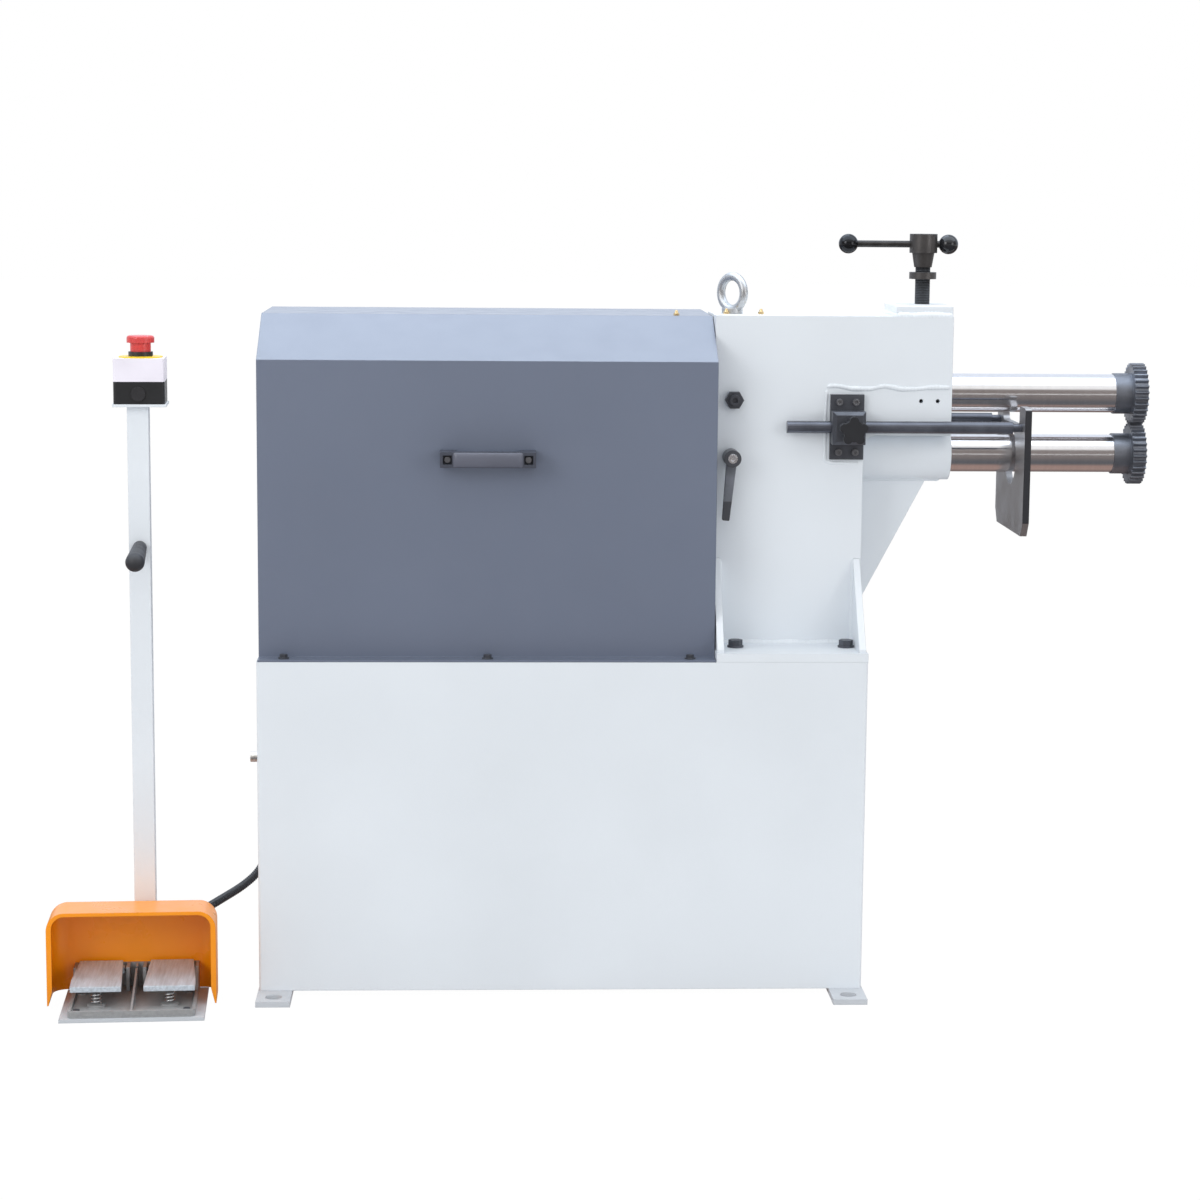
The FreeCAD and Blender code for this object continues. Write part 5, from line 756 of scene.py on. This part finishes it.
def on_stand(u, v, z):
    """A point of the pedal stand's own turned plan, in the shared frame."""
    x = STAND_CORNER[0] + u * math.cos(STAND_TURN) - v * math.sin(STAND_TURN)
    y = STAND_CORNER[1] + u * math.sin(STAND_TURN) + v * math.cos(STAND_TURN)
    return Vector((x, y, z))


def add_ridges(name, side, body):
    """Grip ridges from front to back, shorter where the treadle's long edges taper."""
    verts = []
    faces = []
    across = RIDGE_MARGIN
    while across < TREADLE_WIDE - RIDGE_MARGIN:
        outer_room = (TREADLE_WIDE - RIDGE_CLEAR - across) / OUTER_TAPER
        inner_room = (across - RIDGE_CLEAR) / INNER_TAPER
        back = min(TREADLE_BACK - RIDGE_MARGIN,
                   OUTER_TAPER_FROM + (TAPER_END - OUTER_TAPER_FROM) * outer_room,
                   TREADLE_FRONT + (TAPER_END - TREADLE_FRONT) * inner_room)
        start = len(verts)
        for v in (TREADLE_FRONT + RIDGE_MARGIN, back):
            low = TREADLE_TOP + (v - TREADLE_FRONT) * TREADLE_SLOPE - RIDGE_SUNK
            for step, rise in ((-1.0, 0), (-0.5, RIDGE_TALL), (0.5, RIDGE_TALL), (1.0, 0)):
                u = PEDAL_MIDDLE + side * (TREADLE_INNER + across + step * RIDGE_HALF)
                verts.append(on_stand(u, v, low + rise))
        for k in range(3):
            faces.append((start + k, start + k + 1, start + k + 5, start + k + 4))
        faces.append((start, start + 1, start + 2, start + 3))
        faces.append((start + 4, start + 5, start + 6, start + 7))
        across += RIDGE_PITCH
    ridges = mesh_piece(name, verts, faces, body, MATERIALS["treadle"], smooth=False)


# Stage: floor, cards that only reflections see, lamps and world
FLOOR_HALF = 30.0
FLOOR_LIGHT = 1.02
FLOOR_LIGHT_SHARE = 0.97
FLOOR_TONES = ((0.60, 0.61, 0.62, 1), (0.64, 0.64, 0.65, 1))

# What polished steel shows of the floor, by the place from front to rear
FLOOR_CARD_NEAR = -10.0
FLOOR_CARD_FAR = 9.0
FLOOR_BANDS = (
    (FLOOR_CARD_NEAR, (0.22, 0.19, 0.185, 1)), (-2.5, (0.22, 0.195, 0.19, 1)),
    (-1.5, (0.19, 0.17, 0.17, 1)), (-0.8, (0.13, 0.13, 0.14, 1)),
    (-0.57, (0.12, 0.125, 0.14, 1)), (-0.40, (0.17, 0.15, 0.15, 1)),
    (-0.25, (0.36, 0.25, 0.22, 1)), (0.18, (0.38, 0.27, 0.24, 1)),
    (0.6, (0.22, 0.17, 0.16, 1)), (FLOOR_CARD_FAR, (0.06, 0.055, 0.055, 1)),
)

# The same for the ceiling, and for the bright window above the cover
CEILING_NEAR = -2.0
CEILING_FAR = 0.9
CEILING_BANDS = (
    (CEILING_NEAR, (0.38, 0.39, 0.40, 1)), (-1.2, (0.82, 0.90, 1.0, 1)),
    (0.45, (0.82, 0.90, 1.0, 1)), (0.8, (0.28, 0.31, 0.36, 1)), (CEILING_FAR, (0.28, 0.31, 0.36, 1)),
)
CEILING_STRENGTH = 3.0
WINDOW_LIGHT = (0.75, 0.86, 1.0, 1)
WINDOW_STRENGTH = 3.5

# Light of the room, and what only reflections see of it in front near the floor and behind
ROOM_STRENGTH = 0.86
ROOM_LIGHT = (1.0, 1.0, 1.0, 1)
REAR_LIGHT = (0.86, 0.93, 1.05, 1)
LOW_FRONT_LIGHT = (0.24, 0.21, 0.20, 1)
LOW_FRONT_FADE = (0.36, 0.48)


def add_stage():
    side = FLOOR_HALF
    data = bpy.data.meshes.new("floor")
    data.from_pydata([(-side, -side, 0), (side, -side, 0), (side, side, 0), (-side, side, 0)],
                     [], [(0, 1, 2, 3)])
    floor = bpy.data.objects.new("floor", data)
    bpy.context.scene.collection.objects.link(floor)
    data.materials.append(floor_finish())
    add_card("floor_card", card_finish("card_finish", FLOOR_BANDS, 1.0), height=0.0004,
             left=-6.0, right=6.0, near=FLOOR_CARD_NEAR, far=FLOOR_CARD_FAR)
    add_card("ceiling_card", card_finish("ceiling_finish", CEILING_BANDS, CEILING_STRENGTH),
             height=3.2, left=-4.0, right=4.0, near=CEILING_NEAR, far=CEILING_FAR)
    add_card("cover_card", card_finish("cover_card_finish", WINDOW_LIGHT, WINDOW_STRENGTH),
             height=3.1, left=-1.6, right=0.75, near=0.1, far=1.9)


def add_card(name, material, height, left, right, near, far):
    """A level card that only reflections see."""
    data = bpy.data.meshes.new(name)
    data.from_pydata([(left, near, height), (right, near, height), (right, far, height),
                      (left, far, height)], [], [(0, 1, 2, 3)])
    card = bpy.data.objects.new(name, data)
    bpy.context.scene.collection.objects.link(card)
    data.materials.append(material)
    card.visible_camera = False
    card.visible_diffuse = False
    card.visible_shadow = False
    card.visible_transmission = False


def light_of(finish, colour, strength):
    """Plain light of a colour, as a shader."""
    light = finish.add("Emission")
    light.inputs["Strength"].default_value = strength
    if isinstance(colour, tuple):
        light.inputs["Color"].default_value = colour
    else:
        finish.join(colour, light.inputs["Color"])
    return light.outputs["Emission"]


def floor_finish():
    """Pale floor: it keeps a soft shadow and otherwise shows as the white background."""
    floor = Finish("floor_finish", edge=0.0, Roughness=0.9)
    floor.colour(floor.mix(floor.noise(2.0), *FLOOR_TONES))
    blend = floor.add("MixShader")
    floor.join(floor.math("MULTIPLY", floor.seen(), FLOOR_LIGHT_SHARE), blend.inputs["Fac"])
    floor.join(floor.shader.outputs["BSDF"], blend.inputs[1])
    floor.join(light_of(floor, (1, 1, 1, 1), FLOOR_LIGHT), blend.inputs[2])
    floor.join(blend.outputs["Shader"], floor.output.inputs["Surface"])
    return floor.material


def card_finish(name, colour, strength):
    """Light of one colour, or of bands of colour from front to rear."""
    card = Finish(name, edge=0.0)
    if isinstance(colour[0], tuple):
        colour = card.ramp(card.coordinate("Object", "Y"), colour)
    card.join(light_of(card, colour, strength), card.output.inputs["Surface"])
    return card.material


def lamp(name, place, aim, size, power, mirrored=True):
    data = bpy.data.lights.new(name, "AREA")
    data.shape = "RECTANGLE"
    data.size = size[0]
    data.size_y = size[1]
    data.energy = power
    light = bpy.data.objects.new(name, data)
    bpy.context.scene.collection.objects.link(light)
    light.visible_glossy = mirrored
    light.location = place
    light.rotation_euler = (Vector(aim) - Vector(place)).to_track_quat("-Z", "Y").to_euler()


def add_lamps():
    lamp("overhead", place=(0.0, 0.3, 3.0), aim=(0.0, 0.0, 0.6), size=(3.2, 2.0), power=46,
         mirrored=False)
    lamp("front_left", place=(-3.0, -3.4, 2.4), aim=(0.0, 0.0, 0.6), size=(2.0, 2.0), power=50)
    lamp("front_right", place=(3.2, -3.2, 1.6), aim=(0.2, 0.0, 0.6), size=(1.6, 2.0), power=22)


def add_world():
    """An even white room, which reflections see darker low in front and bluish behind."""
    world = bpy.data.worlds.new("studio")
    bpy.context.scene.world = world
    world.use_nodes = True
    room = Nodes(world.node_tree)
    background = room.tree.nodes["Background"]
    room.join(room.remap(room.seen(), ROOM_STRENGTH, 1.0, 0.0, 1.0), background.inputs["Strength"])
    mirrored = room.ray("Is Glossy Ray")
    depth = room.coordinate("Generated", "Y")
    rear = room.math("MULTIPLY", room.math("GREATER_THAN", depth, 0.0), mirrored)
    front = room.math("MULTIPLY", room.math("LESS_THAN", depth, 0.0), mirrored)
    low = room.remap(room.coordinate("Generated", "Z"), 1.0, 0.0, *LOW_FRONT_FADE)
    wall = room.mix(rear, ROOM_LIGHT, REAR_LIGHT)
    room.join(room.mix(room.math("MULTIPLY", low, front), wall, LOW_FRONT_LIGHT),
              background.inputs["Color"])
    bpy.context.scene.view_settings.view_transform = "Standard"


add_camera()
add_conduit()
dress_nodes()
add_beads()
add_handle_crown()
add_ridges("treadle_ridges_left", -1, "left_treadle")
add_ridges("treadle_ridges_right", 1, "right_treadle")
add_stage()
add_lamps()
add_world()
